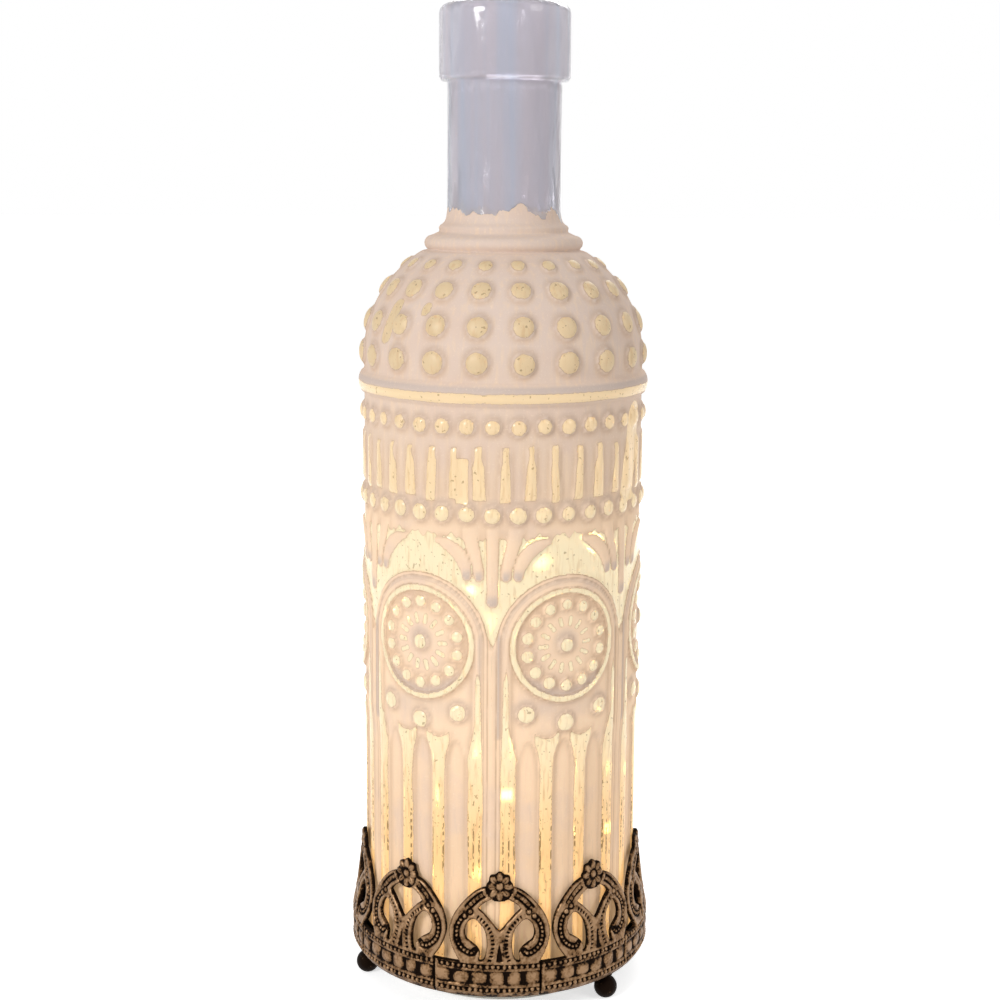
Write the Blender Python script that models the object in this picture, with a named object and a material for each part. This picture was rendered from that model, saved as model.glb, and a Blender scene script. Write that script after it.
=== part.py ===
"""LED bottle lantern: an embossed glass bottle in a cast filigree stand, lit by a string of tiny LEDs.

Metres, +Z up. The origin is on the bottle's axis, on the surface that the three ball feet stand on.
The front of the lantern faces -Y.
"""
import math

import bmesh
import bpy
from mathutils import Matrix, Vector

for old in list(bpy.data.objects):
    bpy.data.objects.remove(old, do_unlink=True)

MM = 0.001

# General fits
GAP = 0.3 * MM                  # running gap between pieces that touch
ROUND_SIDES = 48                # sides of the large turned pieces
SMALL_SIDES = 16                # sides of the small turned pieces

# Glass bottle
BODY_R = 45.0 * MM              # outer radius of the straight body
GLASS_T = 2.7 * MM              # thickness of the glass
BODY_TOP_Z = 208.0 * MM         # where the dome starts
DOME_RISE = 40.0 * MM           # height that the dome's ellipse would reach
COLLAR_RISE = 33.5 * MM         # from the dome's start to the edge of the collar
COLLAR_IN = 0.75 * MM           # how far the collar's edge lies inside the dome there
FLARE_H = 10.5 * MM             # from the collar's edge up to the straight neck
NECK_R = 18.1 * MM
MOUTH_OUT = 2.7 * MM            # how far the heavy ring round the mouth stands out
MOUTH_H = 24.0 * MM
MOUTH_TOP_Z = 317.5 * MM
LIP_ROUND = 3.0 * MM            # rounding of the ring's upper edge
BELT_DROP = 9.0 * MM            # from the dome's start down to the raised belt
BELT_OUT = 1.9 * MM
BELT_HALF = 3.6 * MM

# Raised forms on the glass: turns in degrees from the front, drops from the dome's start
RELIEF_SINK = 0.9 * MM          # how far the foot of a raised form reaches into the wall
RELIEF_TAPER = 0.7              # its top as a share of its foot
RELIEF_CLEAR = 3.0 * MM         # from the crown's tips up to the ends of ribs and columns
DOME_DOTS = 20
DOME_DOT_TURN = 7.98
DOME_DOT_ROWS = (               # rise over the dome's start, radius of the foot, height
    (0.4 * MM, 3.7 * MM, 1.6 * MM),
    (11.5 * MM, 3.6 * MM, 1.5 * MM),
    (21.4 * MM, 3.3 * MM, 1.3 * MM),
    (28.7 * MM, 2.4 * MM, 0.9 * MM),
)
PANELS = 6
PANEL_TURN = 26.4
MEDALLION_DROP = 86.8 * MM
MEDALLION_STEP = 2.9 * MM       # from the medallion's ring to the arch round it
MEDALLION_HALF = 1.3 * MM
MEDALLION_OUT = 1.0 * MM
BUTTON_R = 2.6 * MM             # boss in the middle of a medallion
BUTTON_OUT = 1.1 * MM
ARCH_STEP = 3.36 * MM           # from a column's middle to the arch's leg
ARCH_HALF = 1.6 * MM
ARCH_OUT = 0.75 * MM
COLUMN_DROP = 87.0 * MM         # top of a column
COLUMN_HALF = 1.4 * MM
COLUMN_OUT = 0.8 * MM
STEM_DROPS = (50.5 * MM, 74.0 * MM)     # ends of the palm's stem over each column
STEM_HALF = 1.8 * MM
STEM_OUT = 0.8 * MM
PANEL_DOTS = (                  # place as a share of half a panel, drop
    (-0.55, 108.4 * MM),
    (0.0, 111.9 * MM),
    (0.55, 108.4 * MM),
)
PANEL_DOT_R = 3.0 * MM
PANEL_DOT_OUT = 1.3 * MM
RIB_SHARES = (-0.70, -0.27, 0.27, 0.70)         # ribs of the lancets, as shares of half a panel
RIB_DROP = 119.0 * MM
RIB_HALF = 1.9 * MM
RIB_OUT = 0.8 * MM

# Stand: sheet-metal pan, cast crown and ball feet
FOOT_R = 3.75 * MM              # radius of a ball foot
FOOT_FLAT = 0.3 * MM            # depth of the worn flat under each ball
FOOT_NECK_R = 1.6 * MM
FOOT_NECK_H = 0.8 * MM          # from the top of a ball to the pan
FOOT_ANGLES = (49.0, 168.0, -74.0)      # degrees from the front towards +X
PAN_T = 0.8 * MM                # thickness of its sheet
PAN_WALL_GAP = 1.0 * MM         # from the glass to the pan's upright wall
PAN_H = 11.0 * MM               # height of the upright wall
PAN_LEDGE = 7.0 * MM            # how far the pan's floor reaches in under the glass

# Crown: nine cast arches on a beaded band
CROWN_UNITS = 9
CROWN_T = 1.6 * MM              # thickness of the casting
CROWN_BULGE = 1.4 * MM          # how far the band bulges over its lower edge
CROWN_LEAN = 1.8 * MM           # how far the tips lean in from the band's lower edge
BAND_H = 12.0 * MM
BAND_ROLL = 2.5 * MM            # height of the band's rolled lower edge
BAND_LEFT = 24.5                # degrees of band left of each arch's middle, before the lap
ARCH_H = 24.2 * MM              # from the band up to the middle of the flower
FLOWER_R = 4.7 * MM
FLOWER_LOBES = 8
LOBE_DEPTH = 0.45 * MM
CROWN_CHORD = 7.0 * MM          # longest chord across the crown's curve

# Battery housing: a round tub hung through the pan
GROUND_CLEAR = 2.2 * MM         # from the table to the tub
TUB_FLOOR = 1.8 * MM
TUB_WALL = 1.4 * MM
LID_T = 1.1 * MM
DOOR_T = 1.6 * MM
TONGUE_W = 0.95 * MM            # door's side tongues, in grooves of the tub
TONGUE_T = 0.6 * MM
GRIP_GROOVES = 4
GRIP_PITCH = 2.2 * MM
GRIP_W = 0.9 * MM
GRIP_DEPTH = 0.4 * MM

# Cells and contacts (size AAA)
CELL_R = 5.25 * MM
CELL_L = 44.5 * MM
NUB_R = 1.9 * MM
NUB_L = 1.2 * MM
CELL_SPACE = 0.6 * MM           # between the two cells
BAY_MARGIN = 0.55 * MM          # beside the cells
BAY_LIP = 1.6 * MM              # wall round the cell bay
BAY_CORNER = 2.1 * MM           # tub wall left outside the rear corners of the bay
SPRING_L = 5.4 * MM
SPRING_WIRE_R = 0.35 * MM
SPRING_BASE_R = 3.3 * MM
SPRING_TIP_R = 2.0 * MM
SPRING_TURNS = 3.0
PLATE_T = 0.5 * MM
PLATE_W = 8.4 * MM
PLATE_H = 9.0 * MM

# Circuit board and switch
BOARD_T = 1.6 * MM
BOARD_X = 32.0 * MM
BOARD_FRONT = 6.2 * MM          # from the tub's wall to the board
BOARD_BACK = 3.65 * MM          # from the bay's wall to the board
POST_R = 1.5 * MM
POST_EDGE = (4.0 * MM, 3.0 * MM)        # posts inside the board's side and front edges
CHIP = (5.0 * MM, 4.0 * MM, 1.4 * MM)
CHIP_X = 9.0 * MM
SWITCH_X = -6.0 * MM
SWITCH_BACK = 10.0 * MM         # from the board's front edge to the switch
SWITCH_SIZE = (9.0 * MM, 5.0 * MM)
SWITCH_H = 2.6 * MM
SWITCH_ROOF = 0.8 * MM          # over the slot in the switch
KNOB_SIZE = (3.0 * MM, 2.4 * MM)
KNOB_TRAVEL = 2.5 * MM
KNOB_RECESS = 0.2 * MM          # knob's face above the tub's underside

# Screws that hold the lid
SCREW_R = 1.3 * MM
SCREW_HEAD_R = 2.5 * MM
SCREW_HEAD_T = 1.1 * MM
SCREW_SINK = 0.3 * MM           # head's face above the tub's underside
BOSS_R = 3.0 * MM
BOSS_EDGE = 1.2 * MM            # from a boss to the tub's wall
BOSS_H = 5.0 * MM               # tub's bosses, over its floor
BOSS_ANGLES = (90.0, 210.0, 330.0)
SCREW_BITE = 3.7 * MM           # how far a screw goes into the lid's boss

# Grommet and light string
GROMMET_X = 1.9 * MM
GROMMET_FRONT = 8.25 * MM       # from the bay to the grommet
GROMMET_NECK_R = 2.0 * MM
GROMMET_FLANGE_R = 3.6 * MM
GROMMET_H = 4.8 * MM            # above the lid
GROMMET_FLANGE_T = 1.4 * MM
GROMMET_TIP_R = 2.2 * MM
GROMMET_UNDER = 1.1 * MM        # thickness of the flange under the lid
WIRE_R = 0.5 * MM
BEAD_R = 1.9 * MM
BEAD_L = 5.0 * MM
BEAD_GRIP = 3.2 * MM            # half of the straight stretch of wire at each bead
WIRE_STEPS = 2                  # points of the tube for each stretch of the route
WIRE_STRAIGHT = 0.7 * MM        # straight stretch over the grommet

# Route of the light string in mm, chosen by hand; the last value says whether an LED sits there.
# It comes straight up from the board through the grommet, and from there climbs in loose turns.
ROUTE = (
    (-1.5, -7.3, 31.0, 0), (-10.3, -8.0, 40.2, 1),
    (-22.0, -20.0, 47.0, 0), (-9.0, -35.0, 51.5, 0), (15.0, -34.0, 53.0, 0), (34.0, -15.0, 54.5, 1),
    (36.0, 12.0, 56.0, 0), (16.0, 34.0, 57.5, 0), (-6.0, 34.5, 57.2, 0), (-20.9, 22.0, 56.1, 1),
    (-34.5, -3.0, 61.0, 0), (-20.0, -27.0, 66.5, 0), (2.8, -27.0, 69.0, 1), (27.0, -26.0, 70.5, 0),
    (37.0, 0.0, 70.5, 1), (24.0, 29.0, 69.0, 0), (-9.8, 30.0, 67.4, 1), (-33.0, 15.0, 71.0, 0),
    (-34.0, -14.0, 76.5, 0), (-16.0, -31.0, 81.0, 0), (5.2, -30.0, 82.8, 1), (28.0, -23.0, 86.0, 0),
    (36.5, 2.0, 93.0, 1), (23.0, 28.5, 101.0, 0), (-5.0, 36.5, 108.0, 1), (-31.0, 20.0, 115.0, 0),
    (-31.5, -7.0, 122.0, 1), (-10.4, -6.0, 130.0, 1), (12.0, -24.0, 140.5, 0), (30.0, -12.0, 147.0, 1),
    (28.0, 10.0, 143.0, 0), (13.3, 12.0, 135.9, 1),
)

# Heights, radii and places that follow from the sizes above
COLLAR_Z = BODY_TOP_Z + COLLAR_RISE
NECK_Z = COLLAR_Z + FLARE_H
DOME_END = math.degrees(math.asin((COLLAR_RISE - 1.0 * MM) / DOME_RISE))
COLLAR_R = BODY_R * math.cos(math.radians(DOME_END)) - COLLAR_IN
MOUTH_R = NECK_R + MOUTH_OUT
MOUTH_LOW_Z = MOUTH_TOP_Z - MOUTH_H
BELT_Z = BODY_TOP_Z - BELT_DROP
PAN_Z = 2 * FOOT_R - FOOT_FLAT + FOOT_NECK_H
PAN_TOP = PAN_Z + PAN_T
BOTTLE_Z = PAN_TOP + GAP
BORE_R = BODY_R - GLASS_T
NECK_BORE_R = NECK_R - GLASS_T - GAP
PAN_IN_R = BODY_R - PAN_LEDGE
PAN_OUT_R = BODY_R + PAN_WALL_GAP + PAN_T
CROWN_LOW_R = PAN_OUT_R + GAP + CROWN_T
CROWN_TOP = PAN_Z + BAND_H + ARCH_H + FLOWER_R
RELIEF_LOW = CROWN_TOP + RELIEF_CLEAR
HALF_PANEL = math.pi * BODY_R / PANELS
ARCH_R = HALF_PANEL - ARCH_STEP
MEDALLION_R = ARCH_R - MEDALLION_STEP
TUB_R = PAN_IN_R - GAP - 0.1 * MM
FLANGE_R = BORE_R - GAP - 0.1 * MM
TUB_IN_R = TUB_R - TUB_WALL
FLOOR_Z = GROUND_CLEAR + TUB_FLOOR
BOARD_Z = FLOOR_Z + GAP + SWITCH_H + GAP
BOSS_SPLIT_Z = FLOOR_Z + BOSS_H
DOOR_TOP = GROUND_CLEAR + DOOR_T
CELL_Z = DOOR_TOP + GAP + CELL_R
CELL_TOP = CELL_Z + CELL_R
LID_Z = CELL_TOP + GAP
LID_TOP = LID_Z + LID_T
RIM_Z = LID_Z - GAP
CELL_PITCH = 2 * CELL_R + CELL_SPACE
BAY_RIGHT = 0.5 * (CELL_L + SPRING_L + 2 * (GAP + PLATE_T) + GAP * 3)
BAY_LEFT = -BAY_RIGHT
BAY_TOP_Y = math.sqrt((TUB_R - BAY_CORNER) ** 2 - BAY_RIGHT ** 2)
BAY_Y = BAY_TOP_Y - 2 * BAY_MARGIN - 2 * CELL_R - CELL_PITCH
CELL_YS = (BAY_Y + BAY_MARGIN + CELL_R, BAY_Y + BAY_MARGIN + CELL_R + CELL_PITCH)
BOARD_Y = (BOARD_FRONT - TUB_IN_R, BAY_Y - BAY_LIP - BOARD_BACK)
POST_X = 0.5 * BOARD_X - POST_EDGE[0]
POST_Y = BOARD_Y[0] + POST_EDGE[1]
CHIP_AT = (CHIP_X, 0.5 * (BOARD_Y[0] + BOARD_Y[1]))
SWITCH_AT = (SWITCH_X, BOARD_Y[0] + SWITCH_BACK)
BOSS_RING_R = TUB_IN_R - BOSS_R - BOSS_EDGE
GROMMET_AT = (GROMMET_X, BAY_Y - GROMMET_FRONT)


# Mesh helpers
def add_object(name, bm, material):
    """Put a finished mesh into the scene as one named piece."""
    bmesh.ops.recalc_face_normals(bm, faces=bm.faces)
    mesh = bpy.data.meshes.new(name)
    bm.to_mesh(mesh)
    bm.free()
    mesh.shade_smooth()
    mesh.set_sharp_from_angle(angle=math.radians(35))
    obj = bpy.data.objects.new(name, mesh)
    obj.data.materials.append(material)
    bpy.context.scene.collection.objects.link(obj)
    return obj


def finish(name, color, roughness, metallic=0.0, transmission=0.0):
    """A plain surface finish."""
    mat = bpy.data.materials.new(name)
    mat.use_nodes = True
    shader = mat.node_tree.nodes["Principled BSDF"]
    shader.inputs["Base Color"].default_value = (*color, 1.0)
    shader.inputs["Roughness"].default_value = roughness
    shader.inputs["Metallic"].default_value = metallic
    shader.inputs["Transmission Weight"].default_value = transmission
    mat.diffuse_color = (*color, 1.0)
    return mat


def turned(bm, profile, sides, closed):
    """Turn (radius, height) points round Z. A point at radius 0 is a single vertex."""
    rings = []
    for radius, height in profile:
        if radius < 1e-9:
            rings.append([bm.verts.new((0.0, 0.0, height))])
            continue
        ring = []
        for i in range(sides):
            angle = 2 * math.pi * i / sides
            ring.append(bm.verts.new((radius * math.sin(angle), -radius * math.cos(angle), height)))
        rings.append(ring)
    pairs = list(zip(rings, rings[1:]))
    if closed:
        pairs.append((rings[-1], rings[0]))
    for low, high in pairs:
        for i in range(sides):
            j = (i + 1) % sides
            corners = [low[i % len(low)], low[j % len(low)], high[j % len(high)], high[i % len(high)]]
            corners = list(dict.fromkeys(corners))
            if len(corners) > 2:
                bm.faces.new(corners)


def lathe(name, profile, material, sides=ROUND_SIDES, closed=False):
    """A turned piece. A closed profile is a ring; an open one starts and ends on the axis."""
    bm = bmesh.new()
    turned(bm, profile, sides, closed)
    return add_object(name, bm, material)


def prism(name, outline, low, high, material):
    """An upright prism on a plain outline."""
    bm = bmesh.new()
    bottom = [bm.verts.new((x, y, low)) for x, y in outline]
    top = [bm.verts.new((x, y, high)) for x, y in outline]
    bm.faces.new(bottom[::-1])
    bm.faces.new(top)
    for i in range(len(outline)):
        j = (i + 1) % len(outline)
        bm.faces.new((bottom[i], bottom[j], top[j], top[i]))
    return add_object(name, bm, material)


def block(name, low, high, material):
    """A box between two corners."""
    corners = ((low[0], low[1]), (high[0], low[1]), (high[0], high[1]), (low[0], high[1]))
    return prism(name, corners, low[2], high[2], material)


def rod(name, center, radius, low, high, material, sides=SMALL_SIDES):
    """An upright round bar."""
    outline = []
    for i in range(sides):
        angle = 2 * math.pi * i / sides
        outline.append((center[0] + radius * math.cos(angle), center[1] + radius * math.sin(angle)))
    return prism(name, outline, low, high, material)


def combine(target, other, operation):
    """Cut the other piece out of the target, or join it to it. The other becomes a hidden guide."""
    other.hide_render = True
    other.display_type = "WIRE"
    mod = target.modifiers.new(f"{operation.lower()}_{other.name}", "BOOLEAN")
    mod.operation = operation
    mod.solver = "EXACT"
    mod.object = other
    return target


def cut(target, other):
    return combine(target, other, "DIFFERENCE")


def join(target, other):
    return combine(target, other, "UNION")


def polar(radius, degrees, height=0.0):
    """A point at an angle from the front, turning towards +X."""
    angle = math.radians(degrees)
    return Vector((radius * math.sin(angle), -radius * math.cos(angle), height))


def arc(center, radii, start, end, steps):
    """Points of an ellipse's arc, angles in degrees."""
    points = []
    for i in range(steps + 1):
        angle = math.radians(start + (end - start) * i / steps)
        points.append((center[0] + radii[0] * math.cos(angle), center[1] + radii[1] * math.sin(angle)))
    return points


def smooth_curve(points, steps, closed=False):
    """Points of a smooth curve through the given ones, steps for each stretch."""
    count = len(points)
    out = []
    for i in range(count if closed else count - 1):
        if closed:
            p0, p1, p2, p3 = (Vector(points[(i + k) % count]) for k in (-1, 0, 1, 2))
        else:
            p0, p1, p2, p3 = (Vector(points[min(max(i + k, 0), count - 1)]) for k in (-1, 0, 1, 2))
        for s in range(steps):
            t = s / steps
            out.append(0.5 * (2 * p1 + (p2 - p0) * t + (2 * p0 - 5 * p1 + 4 * p2 - p3) * t * t
                              + (3 * p1 - p0 - 3 * p2 + p3) * t ** 3))
    if not closed:
        out.append(Vector(points[-1]))
    return out


def tube(name, points, radius, resolution, material):
    """A wire along the given points, with closed ends."""
    curve = bpy.data.curves.new(name, "CURVE")
    curve.dimensions = "3D"
    curve.bevel_depth = radius
    curve.bevel_resolution = resolution
    curve.use_fill_caps = True
    spline = curve.splines.new("POLY")
    spline.points.add(len(points) - 1)
    for point, place in zip(spline.points, points):
        point.co = (*place, 1.0)
    obj = bpy.data.objects.new(name, curve)
    obj.data.materials.append(material)
    bpy.context.scene.collection.objects.link(obj)
    return obj


# Raised forms on the glass
def wall_point(turn, across, height, out):
    """A point at a turn from the front, a distance beside it, and so far outside the straight wall."""
    angle = math.radians(turn) + across / BODY_R
    radius = BODY_R + out
    return (radius * math.sin(angle), -radius * math.cos(angle), height)


def raised_strip(bm, turn, line, half, out, closed=False):
    """A raised strip along a line of (across, height) points on the straight wall."""
    section = ((-1, -RELIEF_SINK), (-RELIEF_TAPER, out), (RELIEF_TAPER, out), (1, -RELIEF_SINK))
    rings = []
    count = len(line)
    for i, (across, height) in enumerate(line):
        before = line[i - 1] if closed or i > 0 else line[i]
        after = line[(i + 1) % count] if closed or i < count - 1 else line[i]
        way = Vector((after[0] - before[0], after[1] - before[1])).normalized()
        ring = []
        for share, level in section:
            beside = across - way.y * half * share
            above = height + way.x * half * share
            ring.append(bm.verts.new(wall_point(turn, beside, above, level)))
        rings.append(ring)
    pairs = list(zip(rings, rings[1:]))
    if closed:
        pairs.append((rings[-1], rings[0]))
    else:
        bm.faces.new(rings[0])
        bm.faces.new(rings[-1][::-1])
    for low, high in pairs:
        for i in range(4):
            j = (i + 1) % 4
            bm.faces.new((low[i], low[j], high[j], high[i]))


def raised_dot(bm, turn, height, radius, out, across=0.0, sides=6):
    """A raised dot on the straight wall or on the dome, square to its surface."""
    over = max(height - BODY_TOP_Z, 0.0)
    wall_r = BODY_R * math.sqrt(1.0 - (over / DOME_RISE) ** 2)
    slope = Vector((wall_r / BODY_R ** 2, over / DOME_RISE ** 2)).normalized()
    angle = math.radians(turn) + across / BODY_R
    outward = Vector((math.sin(angle), -math.cos(angle), 0.0))
    aside = Vector((math.cos(angle), math.sin(angle), 0.0))
    up = Vector((0.0, 0.0, 1.0))
    normal = outward * slope.x + up * slope.y
    along = up * slope.x - outward * slope.y
    middle = outward * wall_r + up * height
    rings = []
    for share, level in ((1.0, -RELIEF_SINK), (RELIEF_TAPER, out)):
        ring = []
        for i in range(sides):
            t = 2 * math.pi * i / sides
            reach = radius * share * (aside * math.cos(t) + along * math.sin(t))
            ring.append(bm.verts.new(middle + normal * level + reach))
        rings.append(ring)
    foot, top = rings
    bm.faces.new(foot[::-1])
    bm.faces.new(top)
    for i in range(sides):
        j = (i + 1) % sides
        bm.faces.new((foot[i], foot[j], top[j], top[i]))


def raise_panel(bm, turn):
    """One of the six panels: medallion, arch, dots and ribs, with the column and palm at its right."""
    middle = BODY_TOP_Z - MEDALLION_DROP
    ring = [(u, middle + v) for u, v in arc((0.0, 0.0), (MEDALLION_R, MEDALLION_R), 0, 337.5, 15)]
    raised_strip(bm, turn, ring, MEDALLION_HALF, MEDALLION_OUT, closed=True)
    raised_dot(bm, turn, middle, BUTTON_R, BUTTON_OUT, sides=8)
    bow = arc((0.0, middle), (ARCH_R, ARCH_R), 0, 180, 8)
    raised_strip(bm, turn, [(ARCH_R, RELIEF_LOW)] + bow + [(-ARCH_R, RELIEF_LOW)], ARCH_HALF, ARCH_OUT)
    column = [(HALF_PANEL, RELIEF_LOW), (HALF_PANEL, BODY_TOP_Z - COLUMN_DROP)]
    raised_strip(bm, turn, column, COLUMN_HALF, COLUMN_OUT)
    stem = [(HALF_PANEL, BODY_TOP_Z - STEM_DROPS[1]), (HALF_PANEL, BODY_TOP_Z - STEM_DROPS[0])]
    raised_strip(bm, turn, stem, STEM_HALF, STEM_OUT)
    for share, drop in PANEL_DOTS:
        raised_dot(bm, turn, BODY_TOP_Z - drop, PANEL_DOT_R, PANEL_DOT_OUT, across=share * HALF_PANEL)
    for share in RIB_SHARES:
        rib = [(share * HALF_PANEL, RELIEF_LOW), (share * HALF_PANEL, BODY_TOP_Z - RIB_DROP)]
        raised_strip(bm, turn, rib, RIB_HALF, RIB_OUT)


def make_relief(glass):
    """All the raised forms, as a guide that is joined to the bottle."""
    bm = bmesh.new()
    for rise, radius, out in DOME_DOT_ROWS:
        for i in range(DOME_DOTS):
            raised_dot(bm, DOME_DOT_TURN + 360 * i / DOME_DOTS, BODY_TOP_Z + rise, radius, out)
    for i in range(PANELS):
        raise_panel(bm, PANEL_TURN + 360 * i / PANELS)
    return add_object("join_relief", bm, glass)


# Glass bottle
def make_bottle(glass):
    belt = arc((BODY_R, BELT_Z), (BELT_OUT, BELT_HALF), -90, 90, 5)
    collar_r = COLLAR_R - NECK_R
    flare_h = NECK_Z - COLLAR_Z
    outer = [(BODY_R, BOTTLE_Z)]
    outer += belt
    outer += arc((0.0, BODY_TOP_Z), (BODY_R, DOME_RISE), 0, DOME_END, 7)
    outer += [
        (COLLAR_R, COLLAR_Z),
        (NECK_R + 0.83 * collar_r, COLLAR_Z + 0.24 * flare_h),
        (NECK_R + 0.50 * collar_r, COLLAR_Z + 0.43 * flare_h),
        (NECK_R + 0.20 * collar_r, COLLAR_Z + 0.60 * flare_h),
        (NECK_R + 0.08 * collar_r, COLLAR_Z + 0.80 * flare_h),
        (NECK_R, NECK_Z),
        (NECK_R, MOUTH_LOW_Z - 1.0 * MM),
        (MOUTH_R - 0.5 * MM, MOUTH_LOW_Z),
        (MOUTH_R, MOUTH_LOW_Z + 1.0 * MM),
    ]
    outer += arc((MOUTH_R - LIP_ROUND, MOUTH_TOP_Z - LIP_ROUND), (LIP_ROUND, LIP_ROUND), 0, 90, 3)
    inner = [
        (NECK_BORE_R, MOUTH_TOP_Z),
        (NECK_BORE_R, NECK_Z),
        (COLLAR_R - GLASS_T - 3.0 * MM, COLLAR_Z + 0.2 * flare_h),
    ]
    inner += arc((0.0, BODY_TOP_Z), (BORE_R, DOME_RISE - GLASS_T), DOME_END - 4.0, 0, 5)
    inner += [(BORE_R, BOTTLE_Z)]
    bottle = lathe("glass_bottle", outer + inner, glass, closed=True)
    join(bottle, make_relief(glass))


# Cast crown
def crown_radius(height):
    """Outer radius of the casting at a height over the band's lower edge."""
    tip = BAND_H + ARCH_H + FLOWER_R
    belly = CROWN_LOW_R + CROWN_BULGE
    if height < BAND_ROLL:
        return CROWN_LOW_R + CROWN_BULGE * height / BAND_ROLL
    if height < BAND_H:
        return belly
    rise = (height - BAND_H) / (tip - BAND_H)
    return belly - (CROWN_BULGE + CROWN_LEAN) * math.sin(0.5 * math.pi * rise)


def crown_outline():
    """Outline of one arch with its length of band: mm from the arch's middle and over the band."""
    pitch = 2 * math.pi * (CROWN_LOW_R + CROWN_BULGE) / CROWN_UNITS
    left = -math.radians(BAND_LEFT) * (CROWN_LOW_R + CROWN_BULGE)
    right = left + pitch - GAP
    half = 0.5 * pitch
    lobe = [
        (0.73, 0.0), (0.85, 0.13), (0.945, 0.28), (0.965, 0.43), (0.87, 0.63), (0.66, 0.81), (0.45, 0.94),
    ]
    side = [(x * half, y * ARCH_H) for x, y in lobe]
    outline = [(left, -BAND_H), (right, -BAND_H), (right, 0.0)]
    outline += [(p.x, p.y) for p in smooth_curve(side, 2)]
    flower = []
    steps = 2 * FLOWER_LOBES
    for i in range(-5, 6):
        angle = math.pi / 2 - 2 * math.pi * i / steps
        radius = FLOWER_R - (LOBE_DEPTH if i % 2 else 0.0)
        flower.append((radius * math.cos(angle), ARCH_H + radius * math.sin(angle)))
    outline += flower[::-1]
    outline += [(-p.x, p.y) for p in reversed(smooth_curve(side, 2))]
    outline += [(left, 0.0)]
    return outline


def crown_holes():
    """The three openings of one arch."""
    half = math.pi * (CROWN_LOW_R + CROWN_BULGE) / CROWN_UNITS
    top = [(0.0, 0.40), (0.45, 0.69), (0.16, 0.83), (-0.16, 0.83), (-0.45, 0.69)]
    side = [(0.49, 0.55), (0.31, 0.46), (0.23, 0.29), (0.22, 0.12), (0.33, 0.03), (0.42, 0.09), (0.40, 0.2),
            (0.50, 0.34), (0.63, 0.31), (0.62, 0.45)]
    holes = [[(x * half, y * ARCH_H) for x, y in top]]
    for sign in (1, -1):
        holes.append([(sign * x * half, y * ARCH_H) for x, y in side])
    return holes


def crown_mesh():
    """Fill the outline flat, cut it into short chords, and bend it round the stand."""
    flat = bmesh.new()
    for loop in [crown_outline()] + crown_holes():
        verts = [flat.verts.new((u, v, 0.0)) for u, v in loop]
        for a, b in zip(verts, verts[1:] + verts[:1]):
            flat.edges.new((a, b))
    bmesh.ops.triangle_fill(flat, edges=flat.edges, use_beauty=True)
    reach = max(abs(v.co.x) for v in flat.verts)
    count = int(reach / CROWN_CHORD)
    for i in range(-count, count + 1):
        bmesh.ops.bisect_plane(flat, geom=flat.verts[:] + flat.edges[:] + flat.faces[:], dist=1e-6,
                               plane_co=(i * CROWN_CHORD, 0, 0), plane_no=(1, 0, 0))
    bmesh.ops.bisect_plane(flat, geom=flat.verts[:] + flat.edges[:] + flat.faces[:], dist=1e-6,
                           plane_co=(0, BAND_ROLL - BAND_H, 0), plane_no=(0, 1, 0))
    flat.verts.ensure_lookup_table()
    bent = bmesh.new()
    skins = []
    for inset in (0.0, CROWN_T):
        skin = []
        for v in flat.verts:
            height = v.co.y + BAND_H
            angle = v.co.x / (CROWN_LOW_R + CROWN_BULGE)
            radius = crown_radius(height) - inset
            x, y = radius * math.sin(angle), -radius * math.cos(angle)
            skin.append(bent.verts.new((x, y, PAN_Z + height)))
        skins.append(skin)
    outer, inner = skins
    for face in flat.faces:
        ring = [v.index for v in face.verts]
        bent.faces.new([outer[i] for i in ring])
        bent.faces.new([inner[i] for i in reversed(ring)])
    for edge in flat.edges:
        if len(edge.link_faces) == 1:
            a, b = (v.index for v in edge.verts)
            bent.faces.new((outer[a], outer[b], inner[b], inner[a]))
    flat.free()
    return bent


def make_crown(bronze):
    first = add_object("crown_unit_1", crown_mesh(), bronze)
    for k in range(1, CROWN_UNITS):
        unit = bpy.data.objects.new(f"crown_unit_{k + 1}", first.data)
        bpy.context.scene.collection.objects.link(unit)
        unit.rotation_euler = (0.0, 0.0, 2 * math.pi * k / CROWN_UNITS)


# Pan and feet
def make_pan(sheet):
    wall_top = PAN_Z + PAN_H
    profile = [
        (PAN_IN_R, PAN_Z),
        (PAN_OUT_R, PAN_Z),
        (PAN_OUT_R, wall_top),
        (PAN_OUT_R - PAN_T, wall_top),
        (PAN_OUT_R - PAN_T, PAN_TOP),
        (PAN_IN_R, PAN_TOP),
    ]
    lathe("stand_pan", profile, sheet, closed=True)


def make_feet(bronze):
    center = FOOT_R - FOOT_FLAT
    low = math.degrees(math.asin(-center / FOOT_R))
    high = math.degrees(math.acos(FOOT_NECK_R / FOOT_R))
    profile = [(0.0, 0.0)]
    profile += arc((0.0, center), (FOOT_R, FOOT_R), low, high, 6)
    profile += [(FOOT_NECK_R, PAN_Z - GAP), (0.0, PAN_Z - GAP)]
    ring = PAN_OUT_R - PAN_T
    for k, degrees in enumerate(FOOT_ANGLES):
        foot = lathe(f"ball_foot_{k + 1}", profile, bronze, sides=SMALL_SIDES)
        foot.location = polar(ring, degrees)


# Battery housing
def boss_places():
    angles = [math.radians(a) for a in BOSS_ANGLES]
    return [(BOSS_RING_R * math.cos(a), BOSS_RING_R * math.sin(a)) for a in angles]


def segment_outline(radius, chord_y, sign):
    """The part of a disc in front of a chord, or behind it."""
    angle = math.degrees(math.asin(chord_y / radius))
    if sign > 0:
        return arc((0.0, 0.0), (radius, radius), angle, 180 - angle, 20)
    return arc((0.0, 0.0), (radius, radius), 180 - angle, 360 + angle, 28)


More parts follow.
